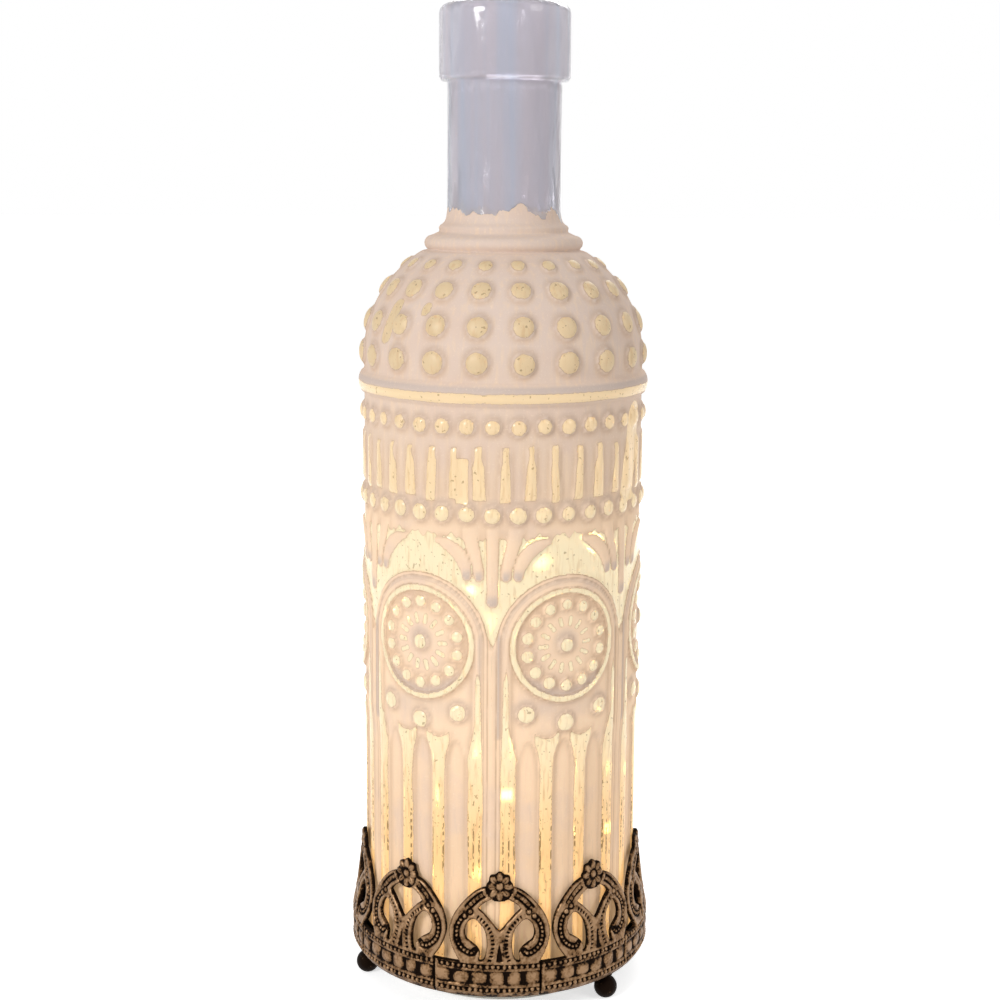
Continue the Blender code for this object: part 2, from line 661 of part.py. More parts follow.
def make_housing(plastic):
    profile = [
        (0.0, GROUND_CLEAR),
        (TUB_R, GROUND_CLEAR),
        (TUB_R, BOTTLE_Z),
        (FLANGE_R, BOTTLE_Z),
        (FLANGE_R, RIM_Z),
        (0.0, RIM_Z),
    ]
    tub = lathe("battery_housing", profile, plastic)
    over = RIM_Z + 2.0 * MM
    under = GROUND_CLEAR - 1.0 * MM
    beyond = TUB_R + 5.0 * MM
    cut(tub, block("cut_bay", (BAY_LEFT, BAY_Y, under), (BAY_RIGHT, BAY_TOP_Y, over), plastic))
    front = segment_outline(TUB_IN_R, BAY_Y - BAY_LIP, -1)
    cut(tub, prism("cut_front_pocket", front, FLOOR_Z, over, plastic))
    rear = segment_outline(TUB_IN_R, BAY_TOP_Y + BAY_LIP, 1)
    cut(tub, prism("cut_rear_pocket", rear, FLOOR_Z, over, plastic))
    door_way = ((BAY_RIGHT - BAY_LIP, BAY_Y, under), (beyond, BAY_TOP_Y, DOOR_TOP + GAP))
    cut(tub, block("cut_door_way", *door_way, plastic))
    groove_mid = GROUND_CLEAR + 0.5 * TUB_FLOOR
    groove = 0.5 * TONGUE_T + GAP
    low = (BAY_LEFT, BAY_Y - TONGUE_W - GAP * 0.5, groove_mid - groove)
    high = (beyond, BAY_TOP_Y + TONGUE_W + GAP * 0.5, groove_mid + groove)
    cut(tub, block("cut_door_grooves", low, high, plastic))
    sink = 0.3 * MM
    for k, place in enumerate(boss_places()):
        join(tub, rod(f"join_boss_{k + 1}", place, BOSS_R, FLOOR_Z - sink, BOSS_SPLIT_Z, plastic))
    for k, x in enumerate((-POST_X, POST_X)):
        post = rod(f"join_post_{k + 1}", (x, POST_Y), POST_R, FLOOR_Z - sink, BOARD_Z - GAP, plastic, 10)
        join(tub, post)
    for k, place in enumerate(boss_places()):
        cut(tub, rod(f"cut_screw_way_{k + 1}", place, SCREW_R + GAP, under, over, plastic))
        well = GROUND_CLEAR + SCREW_SINK + SCREW_HEAD_T + GAP
        cut(tub, rod(f"cut_screw_well_{k + 1}", place, SCREW_HEAD_R + GAP, under, well, plastic))
    reach = 0.5 * (KNOB_SIZE[0] + KNOB_TRAVEL) + GAP
    side = 0.5 * KNOB_SIZE[1] + GAP
    low = (SWITCH_AT[0] - reach, SWITCH_AT[1] - side, under)
    high = (SWITCH_AT[0] + reach, SWITCH_AT[1] + side, FLOOR_Z + 1.0 * MM)
    cut(tub, block("cut_switch_window", low, high, plastic))


def make_lid(plastic):
    profile = [(0.0, LID_Z), (FLANGE_R, LID_Z), (FLANGE_R, LID_TOP), (0.0, LID_TOP)]
    lid = lathe("housing_lid", profile, plastic)
    sink = 0.3 * MM
    for k, place in enumerate(boss_places()):
        join(lid, rod(f"join_lid_boss_{k + 1}", place, BOSS_R, BOSS_SPLIT_Z + GAP, LID_Z + sink, plastic))
    for k, place in enumerate(boss_places()):
        pilot_top = BOSS_SPLIT_Z + GAP + SCREW_BITE + GAP
        pilot_low = BOSS_SPLIT_Z - 1.0 * MM
        cut(lid, rod(f"cut_pilot_{k + 1}", place, SCREW_R + GAP, pilot_low, pilot_top, plastic))
    hole_r = GROMMET_NECK_R + GAP
    cut(lid, rod("cut_grommet_hole", GROMMET_AT, hole_r, LID_Z - 1.0 * MM, LID_TOP + 1.0 * MM, plastic))


def make_door(plastic):
    """The sliding door under the cells, with a tongue along each side and grip grooves at its outer end."""
    left = BAY_LEFT + GAP
    beyond = TUB_R + 5.0 * MM
    low = (left, BAY_Y + GAP, GROUND_CLEAR)
    high = (beyond, BAY_TOP_Y - GAP, DOOR_TOP)
    body = block("battery_door", low, high, plastic)
    mid = GROUND_CLEAR + 0.5 * TUB_FLOOR
    low = (left, BAY_Y - TONGUE_W + GAP * 0.5, mid - 0.5 * TONGUE_T)
    high = (beyond, BAY_TOP_Y + TONGUE_W - GAP * 0.5, mid + 0.5 * TONGUE_T)
    join(body, block("join_tongues", low, high, plastic))
    end = lathe("cut_door_end", [
        (TUB_R, GROUND_CLEAR - 2.0 * MM),
        (2.0 * TUB_R, GROUND_CLEAR - 2.0 * MM),
        (2.0 * TUB_R, DOOR_TOP + 2.0 * MM),
        (TUB_R, DOOR_TOP + 2.0 * MM),
    ], plastic, closed=True)
    cut(body, end)
    first = BAY_RIGHT - (GRIP_GROOVES - 1) * GRIP_PITCH
    for k in range(GRIP_GROOVES):
        x = first + k * GRIP_PITCH
        low = (x, BAY_Y + CELL_R, GROUND_CLEAR - 1.0 * MM)
        high = (x + GRIP_W, BAY_TOP_Y - CELL_R, GROUND_CLEAR + GRIP_DEPTH)
        cut(body, block(f"cut_grip_{k + 1}", low, high, plastic))


# Cells and contacts
def make_cells(jacket):
    body = CELL_L - NUB_L
    profile = [(0.0, 0.0), (CELL_R, 0.0), (CELL_R, body), (NUB_R, body), (NUB_R, CELL_L), (0.0, CELL_L)]
    right_end = BAY_RIGHT - 2 * GAP - PLATE_T
    left_end = BAY_LEFT + 2 * GAP + PLATE_T
    first = lathe("aaa_cell_1", profile, jacket, sides=SMALL_SIDES)
    first.location = (right_end - CELL_L, CELL_YS[0], CELL_Z)
    first.rotation_euler = (0.0, math.pi / 2, 0.0)
    second = lathe("aaa_cell_2", profile, jacket, sides=SMALL_SIDES)
    second.location = (left_end + CELL_L, CELL_YS[1], CELL_Z)
    second.rotation_euler = (0.0, -math.pi / 2, 0.0)


def make_contacts(steel):
    low_z = CELL_Z - 0.5 * PLATE_H
    high_z = CELL_Z + 0.5 * PLATE_H
    half = 0.5 * PLATE_W
    left = BAY_LEFT + GAP
    right = BAY_RIGHT - GAP
    y0, y1 = CELL_YS
    inner = right - PLATE_T
    block("bridge_plate", (left, y0 - half, low_z), (left + PLATE_T, y1 + half, high_z), steel)
    block("positive_plate", (inner, y0 - half, low_z), (right, y0 + half, high_z), steel)
    block("negative_plate", (inner, y1 - half, low_z), (right, y1 + half, high_z), steel)
    starts = (left + PLATE_T + GAP + SPRING_WIRE_R, right - PLATE_T - GAP - SPRING_WIRE_R)
    beyond = PLATE_T + GAP + CELL_L + GAP + SPRING_WIRE_R
    ends = (right - beyond, left + beyond)
    steps = 8
    for k in range(2):
        points = []
        count = int(SPRING_TURNS * steps)
        for i in range(count + 1):
            t = i / count
            angle = 2 * math.pi * SPRING_TURNS * t
            radius = SPRING_BASE_R + (SPRING_TIP_R - SPRING_BASE_R) * t
            x = starts[k] + (ends[k] - starts[k]) * t
            points.append((x, CELL_YS[k] + radius * math.cos(angle), CELL_Z + radius * math.sin(angle)))
        tube(f"contact_spring_{k + 1}", points, SPRING_WIRE_R, 1, steel)


# Board and switch
def make_board(green):
    low = (-0.5 * BOARD_X, BOARD_Y[0], BOARD_Z)
    high = (0.5 * BOARD_X, BOARD_Y[1], BOARD_Z + BOARD_T)
    board = block("circuit_board", low, high, green)
    top = BOARD_Z + BOARD_T
    low = (CHIP_AT[0] - 0.5 * CHIP[0], CHIP_AT[1] - 0.5 * CHIP[1], top - 0.5 * MM)
    high = (CHIP_AT[0] + 0.5 * CHIP[0], CHIP_AT[1] + 0.5 * CHIP[1], top + CHIP[2])
    join(board, block("join_chip", low, high, green))


def make_switch(steel, black):
    top = BOARD_Z - GAP
    low = (SWITCH_AT[0] - 0.5 * SWITCH_SIZE[0], SWITCH_AT[1] - 0.5 * SWITCH_SIZE[1], FLOOR_Z + GAP)
    high = (SWITCH_AT[0] + 0.5 * SWITCH_SIZE[0], SWITCH_AT[1] + 0.5 * SWITCH_SIZE[1], top)
    body = block("switch_body", low, high, steel)
    reach = 0.5 * (KNOB_SIZE[0] + KNOB_TRAVEL) + GAP
    side = 0.5 * KNOB_SIZE[1] + GAP
    slot_top = top - SWITCH_ROOF
    low = (SWITCH_AT[0] - reach, SWITCH_AT[1] - side, FLOOR_Z - 1.0 * MM)
    high = (SWITCH_AT[0] + reach, SWITCH_AT[1] + side, slot_top)
    cut(body, block("cut_switch_slot", low, high, steel))
    half = (0.5 * KNOB_SIZE[0], 0.5 * KNOB_SIZE[1])
    face = GROUND_CLEAR + KNOB_RECESS
    knob = block("switch_knob", (-half[0], -half[1], 0.0), (half[0], half[1], slot_top - GAP - face), black)
    knob.location = (SWITCH_AT[0] + 0.5 * KNOB_TRAVEL, SWITCH_AT[1], face)


# Screws and grommet
def make_screws(steel):
    head = GROUND_CLEAR + SCREW_SINK
    tip = BOSS_SPLIT_Z + GAP + SCREW_BITE
    profile = [
        (0.0, head),
        (SCREW_HEAD_R, head),
        (SCREW_HEAD_R, head + SCREW_HEAD_T),
        (SCREW_R, head + SCREW_HEAD_T),
        (SCREW_R, tip - SCREW_R),
        (0.0, tip),
    ]
    for k, place in enumerate(boss_places()):
        screw = lathe(f"housing_screw_{k + 1}", profile, steel, sides=12)
        screw.location = (*place, 0.0)


def make_grommet(black):
    bore = WIRE_R + GAP
    under = LID_Z - GAP
    over = LID_TOP + GAP
    profile = [
        (bore, under - GROMMET_UNDER),
        (GROMMET_FLANGE_R, under - GROMMET_UNDER),
        (GROMMET_FLANGE_R, under),
        (GROMMET_NECK_R, under),
        (GROMMET_NECK_R, over),
        (GROMMET_FLANGE_R, over),
        (GROMMET_FLANGE_R, over + GROMMET_FLANGE_T),
        (GROMMET_TIP_R, LID_TOP + GROMMET_H),
        (bore, LID_TOP + GROMMET_H),
    ]
    grommet = lathe("wire_grommet", profile, black, sides=SMALL_SIDES, closed=True)
    grommet.location = (*GROMMET_AT, 0.0)


# Light string
def string_points():
    """Points of the wire's tube, and each LED's place with the wire's direction there."""
    starts = (BOARD_Z + BOARD_T + GAP, LID_TOP + GROMMET_H + WIRE_STRAIGHT)
    places = [Vector((*GROMMET_AT, height)) for height in starts]
    places += [Vector(p[:3]) * MM for p in ROUTE]
    lit = [0, 0] + [p[3] for p in ROUTE]
    curve = smooth_curve(places, WIRE_STEPS)
    points = []
    beads = []
    last = len(curve) - 1
    for i, place in enumerate(curve):
        if i % WIRE_STEPS == 0 and lit[i // WIRE_STEPS]:
            along = (curve[min(i + 1, last)] - curve[i - 1]).normalized()
            beads.append((place, along))
            points += [place - along * BEAD_GRIP, place + along * BEAD_GRIP]
        else:
            points.append(place)
    return points, beads


def make_lights(copper, resin):
    points, beads = string_points()
    tube("light_wire", points, WIRE_R, 2, copper)
    bore = WIRE_R + GAP
    half = 0.5 * BEAD_L
    profile = [(bore, -half), (BEAD_R, -0.4 * half), (BEAD_R, 0.4 * half), (bore, half)]
    for k, (place, along) in enumerate(beads):
        bead = lathe(f"led_bead_{k + 1}", profile, resin, sides=8, closed=True)
        turn = Vector((0, 0, 1)).rotation_difference(along).to_matrix().to_4x4()
        bead.matrix_world = Matrix.Translation(place) @ turn
    length = sum((b - a).length for a, b in zip(points, points[1:]))
    print(f"light string: {len(points)} points, {length * 1000:.0f} mm long, {len(beads)} LEDs")


def main():
    glass = finish("washed_glass", (0.93, 0.84, 0.74), 0.35, transmission=0.3)
    bronze = finish("antique_bronze", (0.24, 0.16, 0.10), 0.42, metallic=0.9)
    sheet = finish("bronzed_sheet", (0.10, 0.07, 0.05), 0.5, metallic=0.8)
    white = finish("white_plastic", (0.82, 0.78, 0.70), 0.45)
    cream = finish("lid_plastic", (0.90, 0.85, 0.75), 0.4)
    black = finish("black_plastic", (0.03, 0.03, 0.03), 0.45)
    steel = finish("plated_steel", (0.62, 0.62, 0.60), 0.3, metallic=1.0)
    jacket = finish("cell_jacket", (0.10, 0.12, 0.16), 0.35)
    green = finish("board_laminate", (0.05, 0.22, 0.10), 0.5)
    copper = finish("copper_wire", (0.72, 0.45, 0.25), 0.35, metallic=0.9)
    resin = finish("led_resin", (1.0, 0.86, 0.60), 0.2)
    make_bottle(glass)
    make_crown(bronze)
    make_pan(sheet)
    make_feet(bronze)
    make_housing(white)
    make_lid(cream)
    make_door(white)
    make_cells(jacket)
    make_contacts(steel)
    make_board(green)
    make_switch(steel, black)
    make_screws(steel)
    make_grommet(black)
    make_lights(copper, resin)


main()
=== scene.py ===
# %% [markdown]
# # A lit bottle lantern
# The lantern is an embossed glass bottle, washed milky white and wiped clean on its ornament. It stands in
# a cast bronze crown and is lit from inside by a string of tiny lamps. The frame holds every piece at its
# real size and place, so this lesson only gives each one its fine form and its finish.

# %% Load the frame
import math
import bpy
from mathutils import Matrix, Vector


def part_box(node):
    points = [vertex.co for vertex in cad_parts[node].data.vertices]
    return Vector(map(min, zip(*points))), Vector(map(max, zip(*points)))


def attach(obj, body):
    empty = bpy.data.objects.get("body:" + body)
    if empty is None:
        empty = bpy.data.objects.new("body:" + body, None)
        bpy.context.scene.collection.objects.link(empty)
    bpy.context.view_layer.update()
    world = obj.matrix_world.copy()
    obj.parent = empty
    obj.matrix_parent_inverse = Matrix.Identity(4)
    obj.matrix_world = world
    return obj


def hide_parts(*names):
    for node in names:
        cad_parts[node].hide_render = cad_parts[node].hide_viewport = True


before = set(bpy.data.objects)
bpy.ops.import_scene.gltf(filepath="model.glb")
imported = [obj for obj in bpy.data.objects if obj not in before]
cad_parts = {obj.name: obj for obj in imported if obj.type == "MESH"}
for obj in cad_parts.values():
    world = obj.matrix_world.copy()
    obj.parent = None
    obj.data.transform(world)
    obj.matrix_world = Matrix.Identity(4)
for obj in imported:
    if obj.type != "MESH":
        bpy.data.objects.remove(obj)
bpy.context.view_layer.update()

from types import SimpleNamespace

import bmesh
import bpy
import numpy as np
from mathutils import Matrix, Vector

MM = 0.001


# %% [markdown]
# The camera stands half a metre in front of the lantern and a little above its middle, looking slightly
# down. Long vertical lines lean by a third of a degree in the photograph, so the camera is rolled by that
# much.

# %% Camera
CAMERA_AT = (0.0, -557.1 * MM, 262.8 * MM)
CAMERA_DOWN, CAMERA_ROLL = 9.43, 0.36   # degrees
LENS, SENSOR = 61.96, 36.0              # mm
SHIFT = (-0.0024, -0.034)
CLIP_START = 10.0 * MM


def add_object(name, data):
    """An object that puts a mesh, a curve, a camera or a lamp into the scene."""
    obj = bpy.data.objects.new(name, data)
    bpy.context.scene.collection.objects.link(obj)
    return obj


camera_data = bpy.data.cameras.new("camera")
camera_data.lens, camera_data.sensor_width = LENS, SENSOR
camera_data.shift_x, camera_data.shift_y = SHIFT
camera_data.clip_start = CLIP_START
camera = add_object("camera", camera_data)
tilt = Matrix.Rotation(math.radians(90.0 - CAMERA_DOWN), 4, "X")
roll = Matrix.Rotation(math.radians(CAMERA_ROLL), 4, "Z")
camera.matrix_world = Matrix.Translation(CAMERA_AT) @ tilt @ roll
bpy.context.scene.camera = camera
print("camera", [round(c, 3) for c in camera.location])

# %% [markdown]
# Finishes are node graphs, which take many lines when every node is set up by hand. A few short helpers
# keep them readable: one starts a finish, one adds a node and plugs in whatever it is given, be it a
# number, a colour or another node's socket, and a few do arithmetic with such nodes.

# %% Node helpers
def start_finish(name, color=(0.8, 0.8, 0.8), roughness=0.5, metallic=0.0):
    """A material with one Principled shader, and its tree and shader to work on."""
    mat = bpy.data.materials.new(name)
    mat.use_nodes = True
    tree = mat.node_tree
    shader = tree.nodes["Principled BSDF"]
    shader.inputs["Base Color"].default_value = (*color, 1.0)
    shader.inputs["Roughness"].default_value = roughness
    shader.inputs["Metallic"].default_value = metallic
    return mat, tree, shader


def plug(tree, socket, value):
    """Put a number, a colour or another node's socket into a socket."""
    if isinstance(value, bpy.types.NodeSocket):
        tree.links.new(value, socket)
    elif isinstance(value, tuple) and len(value) == 3 and socket.type == "RGBA":
        socket.default_value = (*value, 1.0)
    else:
        socket.default_value = value


def add_node(tree, kind, inputs=(), **settings):
    """A node with its settings, and its inputs plugged by name or number."""
    node = tree.nodes.new(kind)
    for key, value in settings.items():
        setattr(node, key, value)
    for key, value in dict(inputs).items():
        plug(tree, node.inputs[key], value)
    return node


def calc(tree, operation, *values, clamp=False):
    """One step of arithmetic on numbers or sockets."""
    node = add_node(tree, "ShaderNodeMath", dict(enumerate(values)), operation=operation, use_clamp=clamp)
    return node.outputs[0]


def times(tree, first, second):
    return calc(tree, "MULTIPLY", first, second)


def far_from(tree, value, place):
    """How far a value is from a place, either way."""
    return calc(tree, "ABSOLUTE", calc(tree, "SUBTRACT", value, place))


def length_of(tree, x, y):
    return calc(tree, "SQRT", calc(tree, "ADD", times(tree, x, x), times(tree, y, y)))


print("materials in the frame:", len(bpy.data.materials))

# %% [markdown]
# The next helpers mix, mask and vary. Paint, glass and bronze are never one even colour: each finish lays
# one tone over another where a mask or a noise says so. Noise is always read in the piece's own
# coordinates, so the marks stay on the piece when it moves.

# %% Mixing, masks and noise
def blend_colors(tree, factor, first, second):
    """First colour where the factor is 0, second where it is 1."""
    return add_node(tree, "ShaderNodeMix", {0: factor, 6: first, 7: second}, data_type="RGBA").outputs[2]


def blend_numbers(tree, factor, first, second):
    """First number where the factor is 0, second where it is 1."""
    return add_node(tree, "ShaderNodeMix", {0: factor, 2: first, 3: second}, data_type="FLOAT").outputs[0]


def fade(tree, value, low, high):
    """0 where the value is at low, 1 at high, smooth between."""
    node = add_node(tree, "ShaderNodeMapRange", {0: value, 1: low, 2: high}, interpolation_type="SMOOTHSTEP")
    return node.outputs[0]


def mask_of(tree, value, low, high):
    """1 below low, 0 above high."""
    return calc(tree, "SUBTRACT", 1.0, fade(tree, value, low, high))


def object_coords(tree):
    return add_node(tree, "ShaderNodeTexCoord").outputs["Object"]


def spots(tree, scale, detail=2.0, stretch=(1.0, 1.0, 1.0)):
    """Noise from 0 to 1. Scale is in spots per metre, and a small stretch draws them out along that axis."""
    mapping = add_node(tree, "ShaderNodeMapping", {"Vector": object_coords(tree), "Scale": stretch})
    noise = {"Vector": mapping.outputs[0], "Scale": scale, "Detail": detail}
    return add_node(tree, "ShaderNodeTexNoise", noise).outputs[0]


def jitter(tree, value, noise, amount):
    """The value, shifted up or down by a share of the noise."""
    return calc(tree, "MULTIPLY_ADD", calc(tree, "SUBTRACT", noise, 0.5), amount, value)


def two_tones(tree, noise, first, second):
    """Patches of two colours, with soft edges."""
    return blend_colors(tree, fade(tree, noise, 0.3, 0.7), first, second)


def roughen(tree, shader, height, distance, strength=1.0):
    """Let a socket of heights from 0 to 1 raise the surface by that distance in metres."""
    bump = add_node(tree, "ShaderNodeBump", {"Height": height, "Distance": distance, "Strength": strength})
    tree.links.new(bump.outputs[0], shader.inputs["Normal"])


def attribute(tree, name):
    """A number stored on the mesh's points."""
    return add_node(tree, "ShaderNodeAttribute", attribute_name=name).outputs["Fac"]


print("helpers ready for blends, masks and noise")

# %% [markdown]
# The lamps hang on a thin twisted wire that comes up out of the battery box and climbs the bottle in loose
# turns. Its route is a list of given points, with a mark where a lamp sits, and a smooth curve runs
# through them. The route comes first because the glass has to know where the light is.

# %% Light string: the route
# x, y and height in mm, and 1 where a lamp sits
ROUTE = (
    (-1.5, -7.3, 31.0, 0), (-10.3, -8.0, 40.2, 1),
    (-22.0, -20.0, 47.0, 0), (-9.0, -35.0, 51.5, 0), (15.0, -34.0, 53.0, 0), (34.0, -15.0, 54.5, 1),
    (36.0, 12.0, 56.0, 0), (16.0, 34.0, 57.5, 0), (-6.0, 34.5, 57.2, 0), (-20.9, 22.0, 56.1, 1),
    (-34.5, -3.0, 61.0, 0), (-20.0, -27.0, 66.5, 0), (2.8, -27.0, 69.0, 1), (27.0, -26.0, 70.5, 0),
    (37.0, 0.0, 70.5, 1), (24.0, 29.0, 69.0, 0), (-9.8, 30.0, 67.4, 1), (-33.0, 15.0, 71.0, 0),
    (-34.0, -14.0, 76.5, 0), (-16.0, -31.0, 81.0, 0), (5.2, -30.0, 82.8, 1), (28.0, -23.0, 86.0, 0),
    (36.5, 2.0, 93.0, 1), (23.0, 28.5, 101.0, 0), (-5.0, 36.5, 108.0, 1), (-31.0, 20.0, 115.0, 0),
    (-31.5, -7.0, 122.0, 1), (-10.4, -6.0, 130.0, 1), (12.0, -24.0, 140.5, 0), (30.0, -12.0, 147.0, 1),
    (28.0, 10.0, 143.0, 0), (13.3, 12.0, 135.9, 1),
)
ROUTE_STEPS = 10
WIRE_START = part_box("light_wire")[0][2] / MM
GROMMET_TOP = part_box("wire_grommet")[1][2] / MM
GROMMET_CLEAR = 0.7             # mm that the wire goes on straight above the grommet


def smooth_path(points, steps, closed=False):
    """Points of a smooth curve through the given ones, steps for each stretch."""
    p = np.asarray(points, dtype=float)
    p = np.vstack([p[-1:], p, p[:2]]) if closed else np.vstack([p[:1], p, p[-1:]])
    t = np.linspace(0.0, 1.0, steps, endpoint=False)[None, :, None]
    p0, p1, p2, p3 = (p[k:len(p) - 3 + k, None, :] for k in range(4))
    curve = 0.5 * (2 * p1 + (p2 - p0) * t + (2 * p0 - 5 * p1 + 4 * p2 - p3) * t ** 2
                   + (3 * p1 - p0 - 3 * p2 + p3) * t ** 3)
    curve = curve.reshape(-1, p.shape[1])
    return curve if closed else np.vstack([curve, p[-2:-1]])


def walked(line):
    """Distance from the start of a line to each of its points."""
    steps = np.linalg.norm(np.diff(line, axis=0), axis=1)
    return np.concatenate([[0.0], np.cumsum(steps)])


def directions(line):
    """Which way a line runs at each of its points."""
    way = np.gradient(line, axis=0)
    return way / np.linalg.norm(way, axis=1)[:, None]


grommet_at = [0.5 * (low + high) / MM for low, high in zip(*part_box("wire_grommet"))][:2]
stops = [(*grommet_at, WIRE_START), (*grommet_at, GROMMET_TOP + GROMMET_CLEAR)] + [stop[:3] for stop in ROUTE]
has_lamp = [0, 0] + [stop[3] for stop in ROUTE]
route = smooth_path(stops, ROUTE_STEPS)
route_way = directions(route)
lamp_index = [i * ROUTE_STEPS for i, lit in enumerate(has_lamp) if lit]
lamp_at = route[lamp_index]
print("light string:", round(walked(route)[-1]), "mm long,", len(lamp_at), "lamps")

# %% [markdown]
# The bottle is a turned form with relief on it. Its outline is first written as points of radius and
# height, just as a mould maker would: straight body, belt, domed shoulder, collar, neck and mouth ring. The
# outline is then resampled so that rows lie close together where there is ornament and far apart where
# there is none.

# %% Outline of the bottle
BOTTLE_Z, BOTTLE_TOP = (corner[2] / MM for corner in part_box("glass_bottle"))
BODY_R, GLASS_T = 45.0, 2.7
FLUTED_R = 44.4                 # a little less, so that the ribs stay inside the crown
FLUTES_END, BODY_START = 86.0, 95.0
BELT_Z, BELT_OUT, BELT_HALF = 199.0, 1.9, 3.6
DOME_Z, DOME_RISE = 208.0, 40.0
COLLAR_Z, COLLAR_R = 241.5, 25.5
COLLAR_ROLL, COLLAR_ROLL_Z = (2.6, 2.4), 243.0
SMALL_ROLL, SMALL_ROLL_AT = (1.5, 1.3), (19.4, 247.6)
NECK_Z, NECK_R = 252.0, 18.1
NECK_BORE_R = NECK_R - 3.0
MOUTH_Z, MOUTH_R, MOUTH_ROUND = 293.5, 20.8, (3.4, 3.0)
DOME_END = math.degrees(math.asin((COLLAR_Z - 1.2 - DOME_Z) / DOME_RISE))


def ellipse(center, radii, start, end, steps):
    """Points of an ellipse's arc, angles in degrees."""
    turns = np.radians(np.linspace(start, end, steps + 1))
    return [(center[0] + radii[0] * math.cos(a), center[1] + radii[1] * math.sin(a)) for a in turns]


def bottle_outline():
    """Outer outline from the foot to the mouth, in mm."""
    points = ellipse((FLUTED_R - 1.0, BOTTLE_Z + 1.0), (1.0, 1.0), -90, 0, 3)
    points += [(FLUTED_R, FLUTES_END), (BODY_R, BODY_START)]
    points += ellipse((BODY_R, BELT_Z), (BELT_OUT, BELT_HALF), -90, 90, 12)
    points += ellipse((0.0, DOME_Z), (BODY_R, DOME_RISE), 1, DOME_END, 24)
    points += ellipse((COLLAR_R - COLLAR_ROLL[0], COLLAR_ROLL_Z), COLLAR_ROLL, -60, 62, 8)
    points += [(22.6, 245.6), (21.2, 246.3)]
    points += ellipse(SMALL_ROLL_AT, SMALL_ROLL, -50, 75, 5)
    points += [(18.9, 249.8), (18.45, 251.0), (NECK_R, 253.5), (NECK_R, 272.0), (NECK_R + 0.1, MOUTH_Z - 1.2)]
    points += ellipse((NECK_R + 0.9, MOUTH_Z - 0.3), (0.8, 0.8), 180, 100, 3)
    points += ellipse((MOUTH_R - 1.0, MOUTH_Z + 1.4), (1.0, 1.2), -75, 0, 4)
    points += [(MOUTH_R + 0.05, 304.0)]
    points += ellipse((MOUTH_R - MOUTH_ROUND[0], BOTTLE_TOP - MOUTH_ROUND[1]), MOUTH_ROUND, 0, 90, 8)
    return np.array(points)


# height in mm, and the distance between rows below it
ROW_STEPS = ((12.0, 1.0), (78.0, 4.0), (253.0, 0.9), (292.0, 4.0), (BOTTLE_TOP + 1.0, 1.3))


def resample(points):
    """Rows along the outline at the wanted distances: radius, height and distance along the outline."""
    along = walked(points)
    places = [0.0]
    while places[-1] < along[-1]:
        height = np.interp(places[-1], along, points[:, 1])
        step = next(s for top, s in ROW_STEPS if height < top)
        places.append(min(places[-1] + step, along[-1]))
    places = np.array(places)
    return np.interp(places, along, points[:, 0]), np.interp(places, along, points[:, 1]), places


row_r, row_h, row_s = resample(bottle_outline())
print("bottle rows:", len(row_r))

# %% [markdown]
# The relief is a height field over angle and distance along the outline. Each ornament raises it by its own
# profile, and a second field remembers how far inside a wiped ornament each point lies: positive on bare
# glass, negative on paint. Keeping that field as a distance gives crisp paint edges later on, and a third
# field marks where the wash is painted greyer, which in the grooves and below the rings is painted shade.

# %% Relief: the fields
COLUMNS = 340
DEEP = 3.0                      # mm; well inside paint or glass
dice = np.random.default_rng(11)
turn = np.linspace(0.0, 360.0, COLUMNS, endpoint=False)[None, :]
height = np.repeat(row_h[:, None], COLUMNS, axis=1)
relief = np.zeros_like(height)
bare = np.full_like(height, -DEEP)
settled = np.zeros_like(height)


def raise_to(bump):
    relief[:] = np.maximum(relief, bump)


def wipe(inside):
    bare[:] = np.maximum(bare, inside)


# Make the wash greyer by this amount; in the grooves and below the medallion rings this is painted shade.
def grey_and_shade(amount):
    settled[:] = np.maximum(settled, amount)


print("fields of", height.shape[0], "by", height.shape[1], "points")

# %% [markdown]
# A mould maker works with a few punches, and so does this lesson: a rounded bump, a straight ramp, the
# distance from a drawn line, and a dot. Each dot is wiped on top, and the wash is greyer round its foot.

# %% Relief: tools
DOT_FOOT = 0.45                 # mm that a dot spreads beyond its wiped top
DOT_POWER, DOT_GREY = 0.45, 0.45


def nearest(count, phase):
    """Degrees from the nearest of evenly spaced places, and that place's number."""
    step = 360.0 / count
    number = np.round((turn - phase) / step)
    return turn - phase - number * step, number.astype(int) % count


def arc_length(degrees, radius):
    return np.radians(degrees) * radius


def cushion(distance, half, proud, power=0.6):
    """A rounded bump that is half wide and proud high. A small power makes its top flat."""
    return proud * np.clip(1.0 - (distance / half) ** 2, 0.0, 1.0) ** power


def ramp(value, low, high):
    """0 at low, 1 at high, straight between."""
    return np.clip((value - low) / (high - low), 0.0, 1.0)


def along_line(points, x, y, steps=10):
    """Distance from a smooth line, signed to its left, the nearest point's place on it, and its length."""
    line = smooth_path(points, steps)
    best, signed, place = np.full(x.shape, 99.0), np.full(x.shape, 99.0), np.zeros(x.shape)
    so_far = 0.0
    for (x0, y0), (x1, y1) in zip(line, line[1:]):
        dx, dy = x1 - x0, y1 - y0
        length = math.hypot(dx, dy)
        t = np.clip(((x - x0) * dx + (y - y0) * dy) / length ** 2, 0.0, 1.0)
        far = np.hypot(x - x0 - t * dx, y - y0 - t * dy)
        near = far < best
        side = np.sign(dx * (y - y0) - dy * (x - x0))
        best = np.where(near, far, best)
        signed = np.where(near, far * side, signed)
        place = np.where(near, so_far + t * length, place)
        so_far += length
    return signed, place, so_far


def press_dot(across, along, radius, proud, halo_up, halo_out, halo_in):
    """A dot with greyer wash round its foot, fading from halo_in to halo_out, a little more of it above the
    dot.
    """
    distance = np.hypot(across, along)
    raise_to(cushion(distance, radius + DOT_FOOT, proud, DOT_POWER))
    wipe(radius - distance)
    grey_and_shade(DOT_GREY * ramp(np.hypot(across, along - halo_up), radius + halo_out, radius + halo_in))


